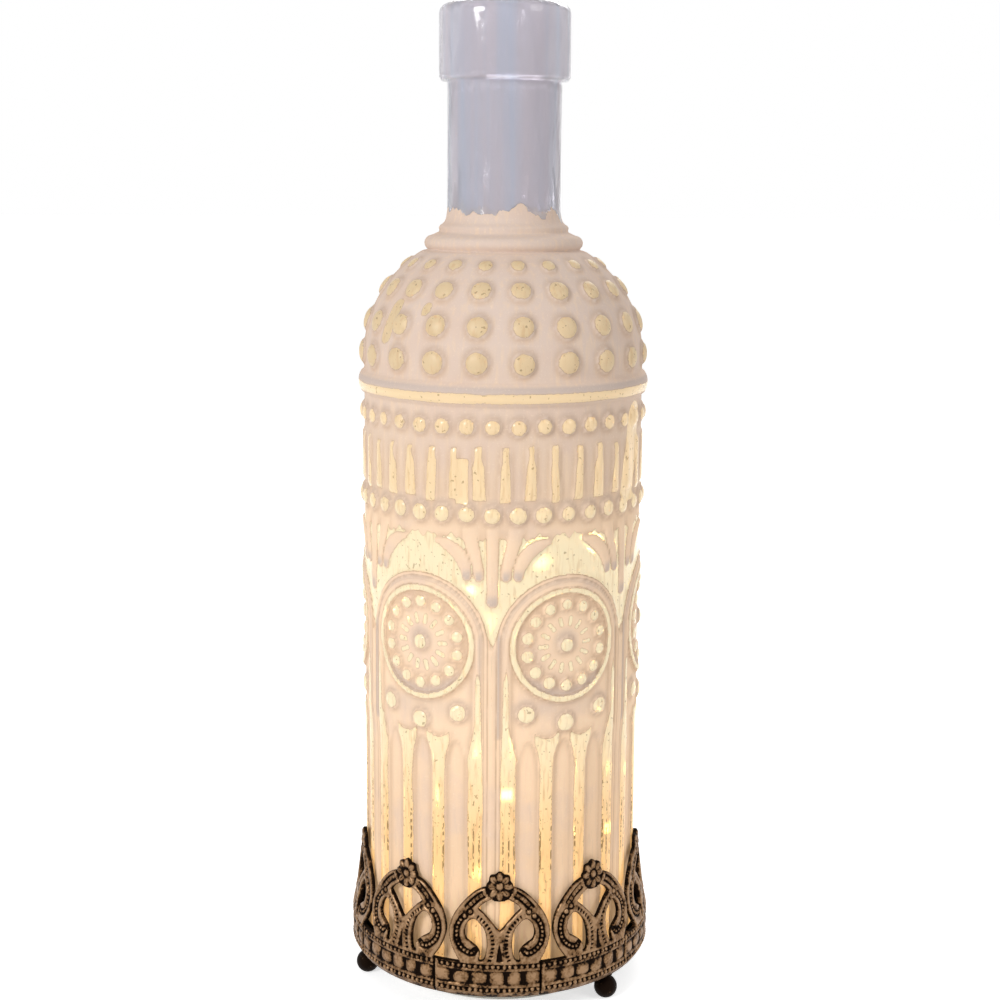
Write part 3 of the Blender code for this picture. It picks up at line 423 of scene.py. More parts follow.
def dot_row(at_height, count, phase, radius, proud):
    """A row of dots, each a little different."""
    row = int(np.argmin(abs(row_h - at_height)))
    off, number = nearest(count, phase)
    sizes = radius * dice.uniform(0.95, 1.04, count)[number]
    across = arc_length(off, row_r[:, None])
    along = (row_s - row_s[row])[:, None] + dice.uniform(-0.2, 0.2, count)[number]
    press_dot(across, along, sizes, proud, 0.9, 2.2, 0.5)


print("one point every", round(2.0 * math.pi * BODY_R / COLUMNS, 2), "mm round the body")

# %% [markdown]
# The domed shoulder has four rows of twenty dots that shrink towards the collar. Below the belt two rows of
# thirty-six beads hold a frieze of upright bars. The bars were wiped by hand: most have a slim neck and a
# wider foot, none is quite like the next, and beside one of them a whole patch of the wash came off.

# %% Relief: dots and beads
DOME_DOTS, DOME_PHASE = 20, 7.98
BEADS, BEAD_PHASE, BEAD_PROUD = 36, -3.75, 1.5
# height, radius and how proud, in mm
for at, dot_r, proud in ((208.2, 3.4, 1.7), (219.5, 3.4, 1.6), (229.5, 3.1, 1.4), (236.8, 2.2, 1.0)):
    dot_row(at, DOME_DOTS, DOME_PHASE, dot_r, proud)
for at, bead_r in ((189.4, 2.3), (162.5, 2.5)):
    dot_row(at, BEADS, BEAD_PHASE, bead_r, BEAD_PROUD)
print("shoulder and beads: highest relief", round(float(relief.max()), 2), "mm")

# %% [markdown]
# Each bar's raised form is plain, and the wiped shape on it is what varies. Where a cloth slipped, the wash
# also came off beside a bar, in two smears on the dome and in a larger one across the frieze. The belt was
# wiped in a line all the way round, with a grey line above it.

# %% Relief: bars and wiped patches
BAR_PHASE = 1.1
BAR_LOW, BAR_TOP = 166.2, 183.6
off, number = nearest(BEADS, BAR_PHASE)


def each_bar(low, high):
    """A random value for each bar."""
    return dice.uniform(low, high, BEADS)[number]


shoulder = each_bar(175.5, 181.5)
neck_half = each_bar(0.85, 1.2)
foot_half = each_bar(1.55, 2.3)
low_end = BAR_LOW + each_bar(-0.5, 0.9)
top_end = BAR_TOP + each_bar(-1.2, 0.6)
down = np.clip((shoulder - height) / (shoulder - BAR_LOW), 0.0, 1.0)
widening = 0.6 * ramp(height, shoulder, shoulder - 2.6) + 0.4 * down
half = neck_half + (foot_half - neck_half) * widening
across = abs(arc_length(off, BODY_R) + each_bar(-0.45, 0.45) * (1.0 - down))
ends = np.minimum(height - low_end, top_end - height)
raise_to(cushion(across, 1.6 + 0.9 * down, 0.7) * np.clip(ends / 1.5, 0.0, 1.0))
wipe(np.minimum(half - across, ends))

PATCH_TURN, PATCH_HALF, PATCH_TOP = 344.2, 2.1, 179.6
patch = np.minimum(PATCH_HALF - abs(arc_length(turn - PATCH_TURN, BODY_R)), PATCH_TOP - height)
wipe(np.minimum(patch, height - BAR_LOW + 0.6))

# degrees from the front, height, radius and half the length
SMEARS = ((-53.5, 219.5, 2.4, 4.5), (-34.5, 224.0, 1.6, 0.4), (64.0, 178.5, 4.6, 11.5))
side = (turn + 180.0) % 360.0 - 180.0
for smear_turn, smear_h, smear_r, smear_long in SMEARS:
    smear_x = arc_length(side - smear_turn, row_r[:, None]) - 0.2 * (height - smear_h)
    wipe(smear_r - np.hypot(smear_x, np.maximum(abs(height - smear_h) - smear_long, 0.0)))

BELT_WIPE_Z = 198.1
wipe(1.5 - abs(height - BELT_WIPE_Z))
grey_and_shade(ramp(height, 198.9, 199.8) * ramp(height, 202.0, 201.2))
print("bars:", BEADS, "of them, and", len(SMEARS), "smears")

# %% [markdown]
# The wall is divided into six bays by slim columns. Each bay has a round arch that holds a medallion, three
# dots under it and three lancets that run down into the stand. The bay is drawn once, in millimetres from
# its own middle, and the angle is folded so that it repeats six times.

# %% Relief: medallions and arches
BAYS, BAY_PHASE, COLUMN_PHASE = 6, 26.4, -3.6
MEDALLION_Z = 121.1
RING_R, ROLL_R, GAP_R, RIDGE_R = 17.25, 19.3, 20.5, 21.75
RING_DOTS, DOT_RING_R, DOT_R, DOT_PHASE = 14, 12.95, 1.85, 12.86
PETALS, PETAL_R, PETAL_PHASE = 14, 6.4, 1.5
BUTTON_R = 2.25


def across_from(count, phase):
    """Distance round the wall from the nearest of evenly spaced places, in mm."""
    return np.broadcast_to(arc_length(nearest(count, phase)[0], BODY_R), height.shape)


# across and up from the medallion's middle, in mm
u = across_from(BAYS, BAY_PHASE)
v = height - MEDALLION_Z
rad = np.hypot(u, v)
angle = np.degrees(np.arctan2(v, u))
inside = rad < RING_R
relief -= 0.4 * ramp(rad, 16.4, 15.8)


def round_the_middle(count, radius, phase):
    """Distances across and along a spoke, from the nearest of a ring of places in the medallion."""
    step = 360.0 / count
    near = angle - phase - np.round((angle - phase) / step) * step
    spoke = rad * np.cos(np.radians(near)) - radius
    return rad * np.sin(np.radians(near)), spoke


across, spoke = round_the_middle(PETALS, PETAL_R, PETAL_PHASE)
petal = np.hypot(across / 1.1, spoke / 2.9)
relief += np.where(inside, cushion(petal, 1.0, 0.45), 0.0)
across, spoke = round_the_middle(RING_DOTS, DOT_RING_R, DOT_PHASE)
distance = np.hypot(across, spoke)
raise_to(np.where(inside, cushion(distance, DOT_R + 0.4, 1.1, DOT_POWER), 0.0))
wipe(np.where(inside, DOT_R - distance, -DEEP))
raise_to(cushion(rad, BUTTON_R + DOT_FOOT, 1.3, DOT_POWER))
wipe(BUTTON_R - rad)

reach = np.where(v > 0.0, rad, abs(u))
raise_to(cushion(abs(reach - ROLL_R), 1.45, 0.75))
raise_to(cushion(abs(reach - RIDGE_R), 0.8, 0.6))
raise_to(cushion(abs(rad - RING_R), 1.15, 1.1, 0.5))
wipe(0.88 - abs(rad - RING_R))
print("medallions: ring radius", RING_R, "mm at height", MEDALLION_Z, "mm")

# %% [markdown]
# The wash is greyer in the lower part of each medallion, round its button and between the arch's roll and
# its ridge. A soft band of painted shade lies below the ring.

# %% Relief: grey wash and painted shade in the bays
grey_and_shade(ramp(rad, 12.5, 16.0) * ramp(v, -7.0, -12.0) * inside)
grey_and_shade(0.6 * ramp(np.hypot(u, v - 1.2), 5.0, 2.6))
# painted shade: a soft band below the ring
grey_and_shade(0.35 * ramp(v, -17.0, -18.6) * ramp(v, -25.0, -21.0) * (abs(u) < 17.5))
grey_and_shade(0.4 * ramp(abs(reach - GAP_R), 1.0, 0.4) * ramp(v, -12.0, 4.0))
print("settled wash on", round(100.0 * float((settled > 0.1).mean())), "% of the points so far")

# %% [markdown]
# Over each column stands a palm: a stem with two fronds on each side, the outer one bent over the arch.
# Stem and fronds keep their paint, and the ground between them and the arches was wiped right down to the
# glass. The tips of the fronds are grey.

# %% Relief: columns and palms
STEM_HALF, STEM_LOW, PALM_TOP, V_TIP = 1.75, 135.5, 155.6, 120.8
COLUMN_HALF, COLUMN_TOP = 1.4, 119.8
INNER_FROND = ((4.1, 143.2), (4.4, 146.0), (5.1, 149.0), (6.0, 152.0), (6.8, 155.0), (7.2, 159.0))
INNER_HALVES = (1.4, 1.6, 1.8, 2.0, 2.2, 2.3)
OUTER_FROND = ((7.9, 143.4), (8.4, 146.3), (9.8, 149.2), (12.1, 151.6), (14.8, 153.2), (17.6, 154.1))
OUTER_HALVES = (1.5, 1.9, 2.2, 2.1, 1.7, 0.8)

aside = across_from(BAYS, COLUMN_PHASE)
stem = np.hypot(aside, np.maximum(STEM_LOW - height, 0.0))
top_edge = PALM_TOP + 0.8 * np.sin(aside * 0.9 + 1.0) + 0.5 * np.sin(aside * 2.3)
ground = np.minimum(np.minimum(reach - 22.25, top_edge - height), stem - STEM_HALF)
ground = np.minimum(ground, 0.3 * (height - V_TIP) - 0.8 * np.minimum(abs(aside), 1.3))
melt = ramp(height, 159.5, 156.0)
raise_to(cushion(stem, STEM_HALF + 0.3, 0.85, 0.5) * melt)
grey_and_shade(ramp(stem, STEM_HALF + 0.2, STEM_HALF - 0.4) * ramp(height, 138.5, 136.0))
for line, halves in ((INNER_FROND, INNER_HALVES), (OUTER_FROND, OUTER_HALVES)):
    off_line, place, whole = along_line(line, abs(aside), height)
    half = np.interp(place / whole, np.linspace(0.0, 1.0, len(halves)), halves)
    raise_to(cushion(abs(off_line), half + 0.25, 0.8, 0.5) * melt)
    grey_and_shade(ramp(abs(off_line), half, half - 0.5) * ramp(place, 2.6, 0.6))
    ground = np.minimum(ground, abs(off_line) - half)

shaft = np.hypot(aside, np.maximum(height - COLUMN_TOP, 0.0))
raise_to(cushion(shaft, COLUMN_HALF, 0.8))
raise_to(0.5 * ramp(height, 92.6, 91.4) * ramp(abs(aside), 4.6, 4.0))
# painted shade in the grooves on both sides of the column, deeper on its right, as light from the left leaves
# it
groove = ramp(abs(aside - 2.0), 0.9, 0.5) + 0.6 * ramp(abs(aside + 3.6), 0.6, 0.3)
grey_and_shade(groove * ramp(height, 91.2, 92.5) * ramp(height, 128.0, 124.0))
wipe(np.minimum(ground, shaft - COLUMN_HALF))
print("columns: top at", COLUMN_TOP, "mm, palms up to", PALM_TOP, "mm")

# %% [markdown]
# The lancets are sunk painted panels with round heads. The bare ribs between them flare out over the panels
# at the top like trumpets. Beside the columns the crest of the arch's leg was wiped too, and lower down the
# wiping takes in the whole strip between leg and panel.

# %% Relief: dots and lancets
LANCET_PITCH, LANCET_HALF = 12.1, 3.85
LANCET_SPRING, LANCET_RISE = 80.0, 11.3
FLARE_Z, LEG_TOP, LEG_OUT = 91.3, 99.0, 20.0

# distance from the bay's middle, height and radius
for dot_u, dot_h, dot_r in ((-12.85, 99.7, 2.65), (0.0, 96.3, 2.75), (12.85, 99.7, 2.65)):
    press_dot(u - dot_u, height - dot_h, dot_r, 1.35, 0.8, 2.0, 0.4)

edge = np.full_like(height, 99.0)
for k in (-1, 0, 1):
    aside = abs(u - k * LANCET_PITCH)
    above = np.maximum(height - LANCET_SPRING, 0.0)
    scaled = np.hypot(aside / LANCET_HALF, above / LANCET_RISE)
    steep = np.hypot(aside / LANCET_HALF ** 2, above / LANCET_RISE ** 2)
    edge = np.minimum(edge, (scaled - 1.0) * scaled / np.maximum(steep, 0.02))
between = abs(abs(u) - 0.5 * LANCET_PITCH)
flare = np.minimum(FLARE_Z + 0.13 * between ** 2 - height, 4.1 - between)
rib = np.minimum(edge, flare)
leg_inner = np.interp(height, (78.0, 86.0, 93.0, 99.0), (14.0, 16.0, 17.6, 18.6))
leg_strip = np.minimum(edge, LEG_OUT - abs(u))
leg_strip = np.minimum(leg_strip, np.minimum(abs(u) - leg_inner, 0.3 * (LEG_TOP - height)))
leg_strip = np.where(abs(u) > LANCET_PITCH, leg_strip, -DEEP)
leg_half = np.interp(height, (80.0, 92.0, 110.0, 117.0), (1.5, 1.2, 0.8, -0.4))
leg_crest = leg_half - abs(abs(u) - ROLL_R)
raise_to(np.clip(np.maximum(rib, leg_strip) / 0.8, 0.0, 1.0) ** 0.5 * 0.75)
relief -= 0.35 * np.clip(-edge, 0.0, 1.0)
wipe(np.maximum(np.maximum(rib, leg_strip), leg_crest))
print("lancets:", LANCET_PITCH, "mm apart, heads at", LANCET_SPRING + LANCET_RISE, "mm")

# %% [markdown]
# Now the field becomes glass. Each row of the outline is turned round the axis and pushed out along the
# outline's own normal. The bore is added below as a plain inner skin, so that the bottle has its real wall.

# %% Bottle mesh
WOBBLE = 0.06                   # mm; pressed glass is never quite round
WOBBLE_FROM, WOBBLE_FULL = 312.0, 300.0


def outline_normals(r, h):
    dr, dh = np.gradient(r), np.gradient(h)
    size = np.hypot(dr, dh)
    return dh / size, -dr / size


def bore_outline():
    """Inner outline from the mouth down to the open foot, in mm."""
    points = [(NECK_BORE_R + 1.2, BOTTLE_TOP), (NECK_BORE_R + 0.2, BOTTLE_TOP - 1.6), (NECK_BORE_R, 312.0)]
    points += [(NECK_BORE_R, 296.0), (NECK_BORE_R, 270.0), (NECK_BORE_R, NECK_Z)]
    points += ellipse((0.0, DOME_Z), (BODY_R - GLASS_T, DOME_RISE - GLASS_T), DOME_END - 3, 0, 9)
    points += [(BODY_R - GLASS_T, 100.0), (BODY_R - GLASS_T, BOTTLE_Z)]
    return np.array(points)


def closed_grid(name, rings):
    """A mesh from rings of points, each ring closed and the last joined to the first."""
    rows, columns, _ = rings.shape
    index = np.arange(rows * columns).reshape(rows, columns)
    right = np.roll(index, -1, axis=1)
    up, up_right = np.roll(index, -1, axis=0), np.roll(right, -1, axis=0)
    faces = np.stack([index, right, up_right, up], axis=-1).reshape(-1, 4)
    mesh = bpy.data.meshes.new(name)
    mesh.from_pydata(rings.reshape(-1, 3).tolist(), [], faces.tolist())
    mesh.shade_smooth()
    return add_object(name, mesh)


out_r, out_h = outline_normals(row_r, row_h)
wobble = WOBBLE * np.sin(np.radians(turn * 3.0) + height * 0.05) * ramp(height, WOBBLE_FROM, WOBBLE_FULL)
push = relief + wobble
ring_r = row_r[:, None] + push * out_r[:, None]
ring_h = row_h[:, None] + push * out_h[:, None]
bore = bore_outline()
ring_r = np.vstack([ring_r, np.repeat(bore[:, :1], COLUMNS, axis=1)])
ring_h = np.vstack([ring_h, np.repeat(bore[:, 1:], COLUMNS, axis=1)])
angles = np.radians(np.repeat(turn, len(ring_r), axis=0))
rings_mm = np.stack([ring_r * np.sin(angles), -ring_r * np.cos(angles), ring_h], axis=-1)
bottle = closed_grid("pressed_bottle", rings_mm * MM)
print("bottle:", len(bottle.data.polygons), "faces")

# %% [markdown]
# The finish needs to know more of each point than its place: how much lamplight reaches it, whether it lies
# in a hollow or on a crest, how far inside a wiped ornament it is and where in its bay. These numbers are
# stored on the mesh's points. The light is worked out from the lamps' places and falls with the square of
# the distance.

# %% Numbers stored on the bottle
LAMP_SOFT, LAMP_GAIN = 14.0, 200.0      # mm; a lamp nearer than this is hardly brighter
RISE = 0.3                      # mm above or below its surroundings where a point is a full crest or hollow
AWAY = 30.0                     # mm; a place in the bay without ornament


def store(mesh, name, values):
    """Keep one number for each point under a name that a finish can read."""
    layer = mesh.attributes.new(name, "FLOAT", "POINT")
    layer.data.foreach_set("value", np.asarray(values, dtype=np.float32).ravel())


def blurred(field, reach):
    """The field averaged over that many points each way."""
    total = np.zeros_like(field)
    padded = np.pad(field, ((reach, reach), (0, 0)), mode="edge")
    for down in range(2 * reach + 1):
        for across in range(-reach, reach + 1):
            total += np.roll(padded[down:down + len(field)], across, axis=1)
    return total / (2 * reach + 1) ** 2


lamp_light = sum(1.0 / (np.sum((rings_mm - at) ** 2, axis=-1) + LAMP_SOFT ** 2) for at in lamp_at)
lamp_light *= LAMP_GAIN
# Hollows are later painted darker and crests lighter: partly thicker and thinner wash, partly painted shade
# and painted highlight.
standing = (relief - blurred(relief, 2)) / RISE
hollow, crest = np.clip(-standing, 0.0, 1.0), np.clip(standing, 0.0, 1.0)
plain = np.zeros((len(bore), COLUMNS))
# a field's values on the outer skin and on the bore
fields = {"skin": (np.ones_like(relief), plain), "bare": (bare, plain + DEEP), "hollow": (hollow, plain),
          "crest": (crest, plain), "settled": (settled, plain), "bay_across": (u, plain + AWAY),
          "bay_up": (v, plain)}
for name, (outer, inner) in fields.items():
    store(bottle.data, name, np.vstack([outer, inner]))
store(bottle.data, "lamp_light", lamp_light)
print("lamp light from", round(float(lamp_light.min()), 2), "to", round(float(lamp_light.max()), 2))

# %% [markdown]
# The paint is a thin milky wash. It is opaque and glows from the light behind it, more warmly in the lower
# part where the lamps are. Marks finer than the mesh are worked out in the shader, from each point's place
# in its bay: the petals that were wiped bare, thin brown lines of painted shade along the arch and the ring,
# and the dark dashes down the ribs.

# %% Fine marks in the wash
PETAL_MARK_R, PETAL_MARK_HALF, PETAL_MARK_REACH = 7.5, 0.78, 1.0        # mm
# a line's radius, half its width and how dark it is
ARCH_SHADE_LINES = ((22.2, 0.42, 0.65), (21.1, 0.3, 0.4), (19.9, 0.3, 0.2))
RING_SHADE_LINES = ((RING_R + 1.15, 0.38, 0.5), (RING_R - 1.2, 0.38, 0.5))
DASH_LINES = (4.3, 7.9, 16.3, 18.0, 19.8)       # mm from a bay's middle
DASHES_FROM, DASHES_TO = 46.0 * MM, 84.0 * MM   # heights


def petal_marks(tree, across, up):
    """How far inside a petal's wiped mark a point is, in mm."""
    rad = length_of(tree, across, up)
    step = 2.0 * math.pi / PETALS
    angle = calc(tree, "ARCTAN2", up, across)
    turned = calc(tree, "DIVIDE", calc(tree, "SUBTRACT", angle, math.radians(PETAL_PHASE)), step)
    near = times(tree, calc(tree, "SUBTRACT", turned, calc(tree, "ROUND", turned)), step)
    aside = calc(tree, "ABSOLUTE", times(tree, rad, near))
    beyond = calc(tree, "SUBTRACT", far_from(tree, rad, PETAL_MARK_R), PETAL_MARK_REACH)
    distance = length_of(tree, aside, calc(tree, "MAXIMUM", beyond, 0.0))
    return calc(tree, "SUBTRACT", PETAL_MARK_HALF, distance)


def shade_lines(tree, across, up):
    """Brown lines of painted shade along the arch, its legs and the medallion's ring, from 0 to 1."""
    rad = length_of(tree, across, up)
    reach = blend_numbers(tree, fade(tree, up, -0.2, 0.2), calc(tree, "ABSOLUTE", across), rad)
    total = 0.0
    for value, lines in ((reach, ARCH_SHADE_LINES), (rad, RING_SHADE_LINES)):
        for radius, half, amount in lines:
            line = mask_of(tree, far_from(tree, value, radius), 0.05, half)
            total = calc(tree, "MAXIMUM", total, times(tree, line, amount))
    return total


def dashes(tree, across, z):
    """Dark dashes of old wash down the ribs, denser towards the stand."""
    aside = calc(tree, "ABSOLUTE", across)
    nearest_line = far_from(tree, aside, DASH_LINES[0])
    for line in DASH_LINES[1:]:
        nearest_line = calc(tree, "MINIMUM", nearest_line, far_from(tree, aside, line))
    on_line = mask_of(tree, nearest_line, 0.12, 0.36)
    low_down = mask_of(tree, z, DASHES_FROM + 4.0 * MM, DASHES_TO)
    low_down = times(tree, low_down, fade(tree, z, DASHES_FROM, DASHES_FROM + 3.0 * MM))
    broken = spots(tree, 1700.0, 2.0, (1.0, 1.0, 0.4))
    limit = calc(tree, "MULTIPLY_ADD", low_down, -0.26, 0.70)
    dashed = fade(tree, calc(tree, "SUBTRACT", broken, limit), 0.0, 0.05)
    return times(tree, times(tree, on_line, dashed), fade(tree, low_down, 0.0, 0.15))


print("fine marks:", PETALS, "petals in each medallion,", len(DASH_LINES), "lines of dashes each way")

# %% [markdown]
# The masks say where a point is and what lies on it. The stored field, roughened by three noises, decides
# between paint and glass, so that the edges wander as a cloth leaves them. On the neck the wash ends in a
# torn edge. A tan line follows each edge, and a thin film of wash is left on the glass in long streaks.

# %% Masks of the bottle
PAINT_TOP = 253.5 * MM


def bottle_masks(tree):
    """All that colour and glow are chosen by: z in metres, everything else from 0 to 1."""
    marks = SimpleNamespace()
    marks.z = add_node(tree, "ShaderNodeSeparateXYZ", {0: object_coords(tree)}).outputs["Z"]
    for name in ("skin", "hollow", "crest", "settled"):
        setattr(marks, name, attribute(tree, name))
    across, up = attribute(tree, "bay_across"), attribute(tree, "bay_up")
    marks.streaks = spots(tree, 700.0, 3.0, (1.0, 1.0, 0.16))
    marks.blotches = spots(tree, 60.0, 4.0)
    marks.fine = spots(tree, 1500.0, 2.0)
    marks.run = fade(tree, marks.streaks, 0.45, 0.75)
    marks.thick = fade(tree, marks.blotches, 0.45, 0.65)
    marks.fleck = fade(tree, marks.fine, 0.6, 0.7)

    # lower and upper height in mm of a slow change, 1 below it
    slopes = {"warm": (120, 225), "middle": (148, 171), "low": (48, 100), "below": (70, 96), "foot": (22, 58)}
    for name, (bottom, top) in slopes.items():
        setattr(marks, name, mask_of(tree, marks.z, bottom * MM, top * MM))
    marks.dome = fade(tree, marks.z, 200.0 * MM, 204.0 * MM)
    marks.high = fade(tree, marks.z, 150.0 * MM, 172.0 * MM)

    inside = calc(tree, "MAXIMUM", attribute(tree, "bare"), petal_marks(tree, across, up))
    ragged = inside
    for noise, amount in ((marks.streaks, 0.7), (marks.fine, 0.5), (marks.blotches, 0.8)):
        ragged = jitter(tree, ragged, noise, amount)
    edge_z = jitter(tree, marks.z, marks.streaks, 3.5 * MM)
    edge_z = jitter(tree, edge_z, spots(tree, 130.0, 3.0), 20.0 * MM)
    marks.neck = fade(tree, edge_z, PAINT_TOP - 0.3 * MM, PAINT_TOP + 0.3 * MM)
    marks.glass = calc(tree, "MAXIMUM", fade(tree, ragged, 0.04, 0.2), marks.neck)
    marks.paint = times(tree, calc(tree, "SUBTRACT", 1.0, marks.glass), marks.skin)
    marks.washed = times(tree, marks.skin, calc(tree, "SUBTRACT", 1.0, marks.neck))

    marks.edge_line = times(tree, mask_of(tree, far_from(tree, ragged, 0.02), 0.0, 0.22), marks.washed)
    # the brown lines are painted shade along the arch, its legs and the ring
    marks.lines = times(tree, shade_lines(tree, across, up), fade(tree, marks.streaks, 0.2, 0.55))
    rag = spots(tree, 1000.0, 3.0, (1.0, 1.0, 0.14))
    off_belt = fade(tree, far_from(tree, marks.z, BELT_WIPE_Z * MM), 1.6 * MM, 2.4 * MM)
    film = times(tree, off_belt, calc(tree, "MULTIPLY_ADD", marks.below, 0.3, 0.45))
    marks.film = times(tree, fade(tree, rag, 0.48, 0.72), film)
    pit = times(tree, fade(tree, spots(tree, 800.0, 1.0), 0.66, 0.72), fade(tree, inside, 0.2, 0.6))
    old_wash = calc(tree, "MAXIMUM", times(tree, pit, 0.6), dashes(tree, across, marks.z))
    marks.old_wash = times(tree, old_wash, calc(tree, "SUBTRACT", marks.glass, marks.neck, clamp=True))
    return marks


print("wash ends at", round(PAINT_TOP / MM, 1), "mm on the neck")

# %% [markdown]
# The wash is one colour after another laid over the last: pink-grey on the dome, peach lower down, where the
# lamps' warm light is painted into it, greyer in places, brown in the painted shade lines. Bare glass is
# straw yellow in the bays and more golden above and below them, a colour that paints in the lamp-lit inside
# seen through it, and the plain neck has faint streaks of blue and mauve.

# %% Colours of the bottle
WASH_ON_DOME, WASH_BELOW, WASH_IN_BAYS = (0.72, 0.575, 0.49), (0.83, 0.595, 0.38), (0.93, 0.69, 0.49)
# The low tint paints in the lamps' warm light. Crests are lighter and hollows darker, for thinner and thicker
# wash and as painted highlight and painted shade. The grey tint is painted shade in the grooves and below the
# rings, and the brown lines are painted shade.
# what the wash is tinted by, how much at most, and the colour
WASH_TINTS = (
    ("low", 0.8, (0.79, 0.56, 0.375)), ("thick", 0.6, (0.72, 0.55, 0.45)),
    ("run", 0.4, (0.86, 0.65, 0.45)), ("crest", 0.35, (0.90, 0.66, 0.46)),
    ("hollow", 0.6, (0.62, 0.42, 0.27)), ("settled", 0.75, (0.56, 0.46, 0.41)),
    ("fleck", 0.2, (0.95, 0.80, 0.64)), ("lines", 0.8, (0.46, 0.28, 0.16)),
)
# The bare glass colours paint in the lamp-lit inside seen through the glass, warmer low down near the lamps.
GLASS_IN_BAYS, GLASS_ABOVE, GLASS_LOW = (0.87, 0.77, 0.53), (0.88, 0.69, 0.43), (0.95, 0.66, 0.30)
FILM, EDGE_LINE, OLD_WASH = (0.74, 0.48, 0.23), (0.45, 0.28, 0.14), (0.28, 0.16, 0.05)
NECK_MAUVE, NECK_BLUE = (0.69, 0.64, 0.69), (0.61, 0.64, 0.74)


def bottle_color(tree, marks):
    wash = blend_colors(tree, marks.warm, WASH_ON_DOME, WASH_BELOW)
    wash = blend_colors(tree, marks.middle, wash, WASH_IN_BAYS)
    for name, amount, tint in WASH_TINTS:
        wash = blend_colors(tree, times(tree, getattr(marks, name), amount), wash, tint)
    clear = blend_colors(tree, marks.high, GLASS_IN_BAYS, GLASS_ABOVE)
    clear = blend_colors(tree, marks.low, clear, GLASS_LOW)
    clear = blend_colors(tree, marks.film, clear, FILM)
    drawn = fade(tree, spots(tree, 170.0, 2.0, (1.0, 1.0, 0.03)), 0.38, 0.68)
    clear = blend_colors(tree, marks.neck, clear, blend_colors(tree, drawn, NECK_MAUVE, NECK_BLUE))
    color = blend_colors(tree, marks.paint, clear, wash)
    color = blend_colors(tree, times(tree, marks.edge_line, 0.4), color, EDGE_LINE)
    return blend_colors(tree, marks.old_wash, color, OLD_WASH)


print("colours:", len(WASH_TINTS), "tints over the wash")

# %% [markdown]
# The glow is painted light: it stands for lamplight that the milky glass spreads. It follows the light that
# was worked out for each point from the lamps' places, and more is painted in at the foot than the lamps give
# there. Whatever is thick or dark lets less of it through, and hollows and brown lines dim it as painted
# shade.

# %% Glow of the bottle
GLOW_IN_BAYS, GLOW_ABOVE = (1.0, 0.85, 0.56), (1.0, 0.74, 0.43)
GLOW_LOW, GLOW_OF_PAINT = (1.0, 0.60, 0.24), (1.0, 0.60, 0.27)


def bottle_glow(tree, marks):
    """Colour and strength of the glow."""
    color = blend_colors(tree, marks.high, GLOW_IN_BAYS, GLOW_ABOVE)
    color = blend_colors(tree, marks.low, color, GLOW_LOW)
    color = blend_colors(tree, marks.paint, color, GLOW_OF_PAINT)
    shaded = calc(tree, "MAXIMUM", calc(tree, "MAXIMUM", marks.hollow, marks.settled), marks.lines)
    shaded = times(tree, shaded, marks.paint)
    lit = marks.washed
    for dark, loss in ((marks.old_wash, 0.9), (marks.edge_line, 0.5), (marks.film, 0.5), (shaded, 0.5)):
        lit = times(tree, lit, calc(tree, "MULTIPLY_ADD", dark, -loss, 1.0))
    light = attribute(tree, "lamp_light")
    # painted light: extra glow at the foot, on the glass here and on the paint two lines down
    of_glass = calc(tree, "MULTIPLY_ADD", marks.foot, 0.3, times(tree, light, 0.105))
    of_glass = calc(tree, "ADD", of_glass, calc(tree, "MULTIPLY_ADD", marks.dome, -0.15, 0.22))
    of_paint = calc(tree, "MULTIPLY_ADD", light, 0.11, times(tree, marks.low, 0.02))
    of_paint = calc(tree, "MULTIPLY_ADD", marks.foot, 0.26, of_paint)
    return color, times(tree, blend_numbers(tree, marks.paint, of_glass, of_paint), lit)


print("glow: light on the glass up to", round(float(lamp_light.max()), 2))

# %% [markdown]
# Last, one shader takes it all: paint is matt and opaque, bare glass lets a third of the light through, the
# plain neck half, and the bore nearly all. The paint stands a little proud of the glass, streaks roughen
# both, and the neck has the slow waves of pressed glass, which break up the lamps' glints.

# %% Finish of the bottle
def bottle_finish():
    mat, tree, shader = start_finish("washed_glass")
    marks = bottle_masks(tree)
    tree.links.new(bottle_color(tree, marks), shader.inputs["Base Color"])
    glow_color, glow = bottle_glow(tree, marks)
    tree.links.new(glow_color, shader.inputs["Emission Color"])
    tree.links.new(glow, shader.inputs["Emission Strength"])

    see_through = blend_numbers(tree, marks.skin, 0.86, calc(tree, "MULTIPLY_ADD", marks.neck, 0.2, 0.32))
    open_share = calc(tree, "SUBTRACT", 1.0, calc(tree, "MAXIMUM", marks.paint, marks.old_wash))
    tree.links.new(times(tree, open_share, see_through), shader.inputs["Transmission Weight"])
    rough = calc(tree, "MULTIPLY_ADD", marks.paint, 0.48, calc(tree, "MULTIPLY_ADD", marks.dome, 0.25, 0.2))
    rough = calc(tree, "MULTIPLY_ADD", marks.neck, -0.33, rough)
    tree.links.new(blend_numbers(tree, marks.washed, 0.08, rough), shader.inputs["Roughness"])
    shader.inputs["IOR"].default_value = 1.5
    shader.inputs["Specular IOR Level"].default_value = 0.35

    rough_skin = calc(tree, "MULTIPLY_ADD", marks.fine, 0.5, times(tree, marks.streaks, 0.5))
    skin_height = calc(tree, "MULTIPLY_ADD", marks.paint, 0.8, times(tree, rough_skin, 0.6))
    waves = times(tree, spots(tree, 150.0, 2.0, (1.0, 1.0, 0.35)), marks.neck)
    skin_height = calc(tree, "MULTIPLY_ADD", waves, 9.0, skin_height)
    roughen(tree, shader, skin_height, 0.16 * MM, 0.6)
    return mat


bottle.data.materials.append(bottle_finish())
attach(bottle, "root")
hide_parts("glass_bottle")
print("bottle finished with", len(bottle.data.materials[0].node_tree.nodes), "nodes")

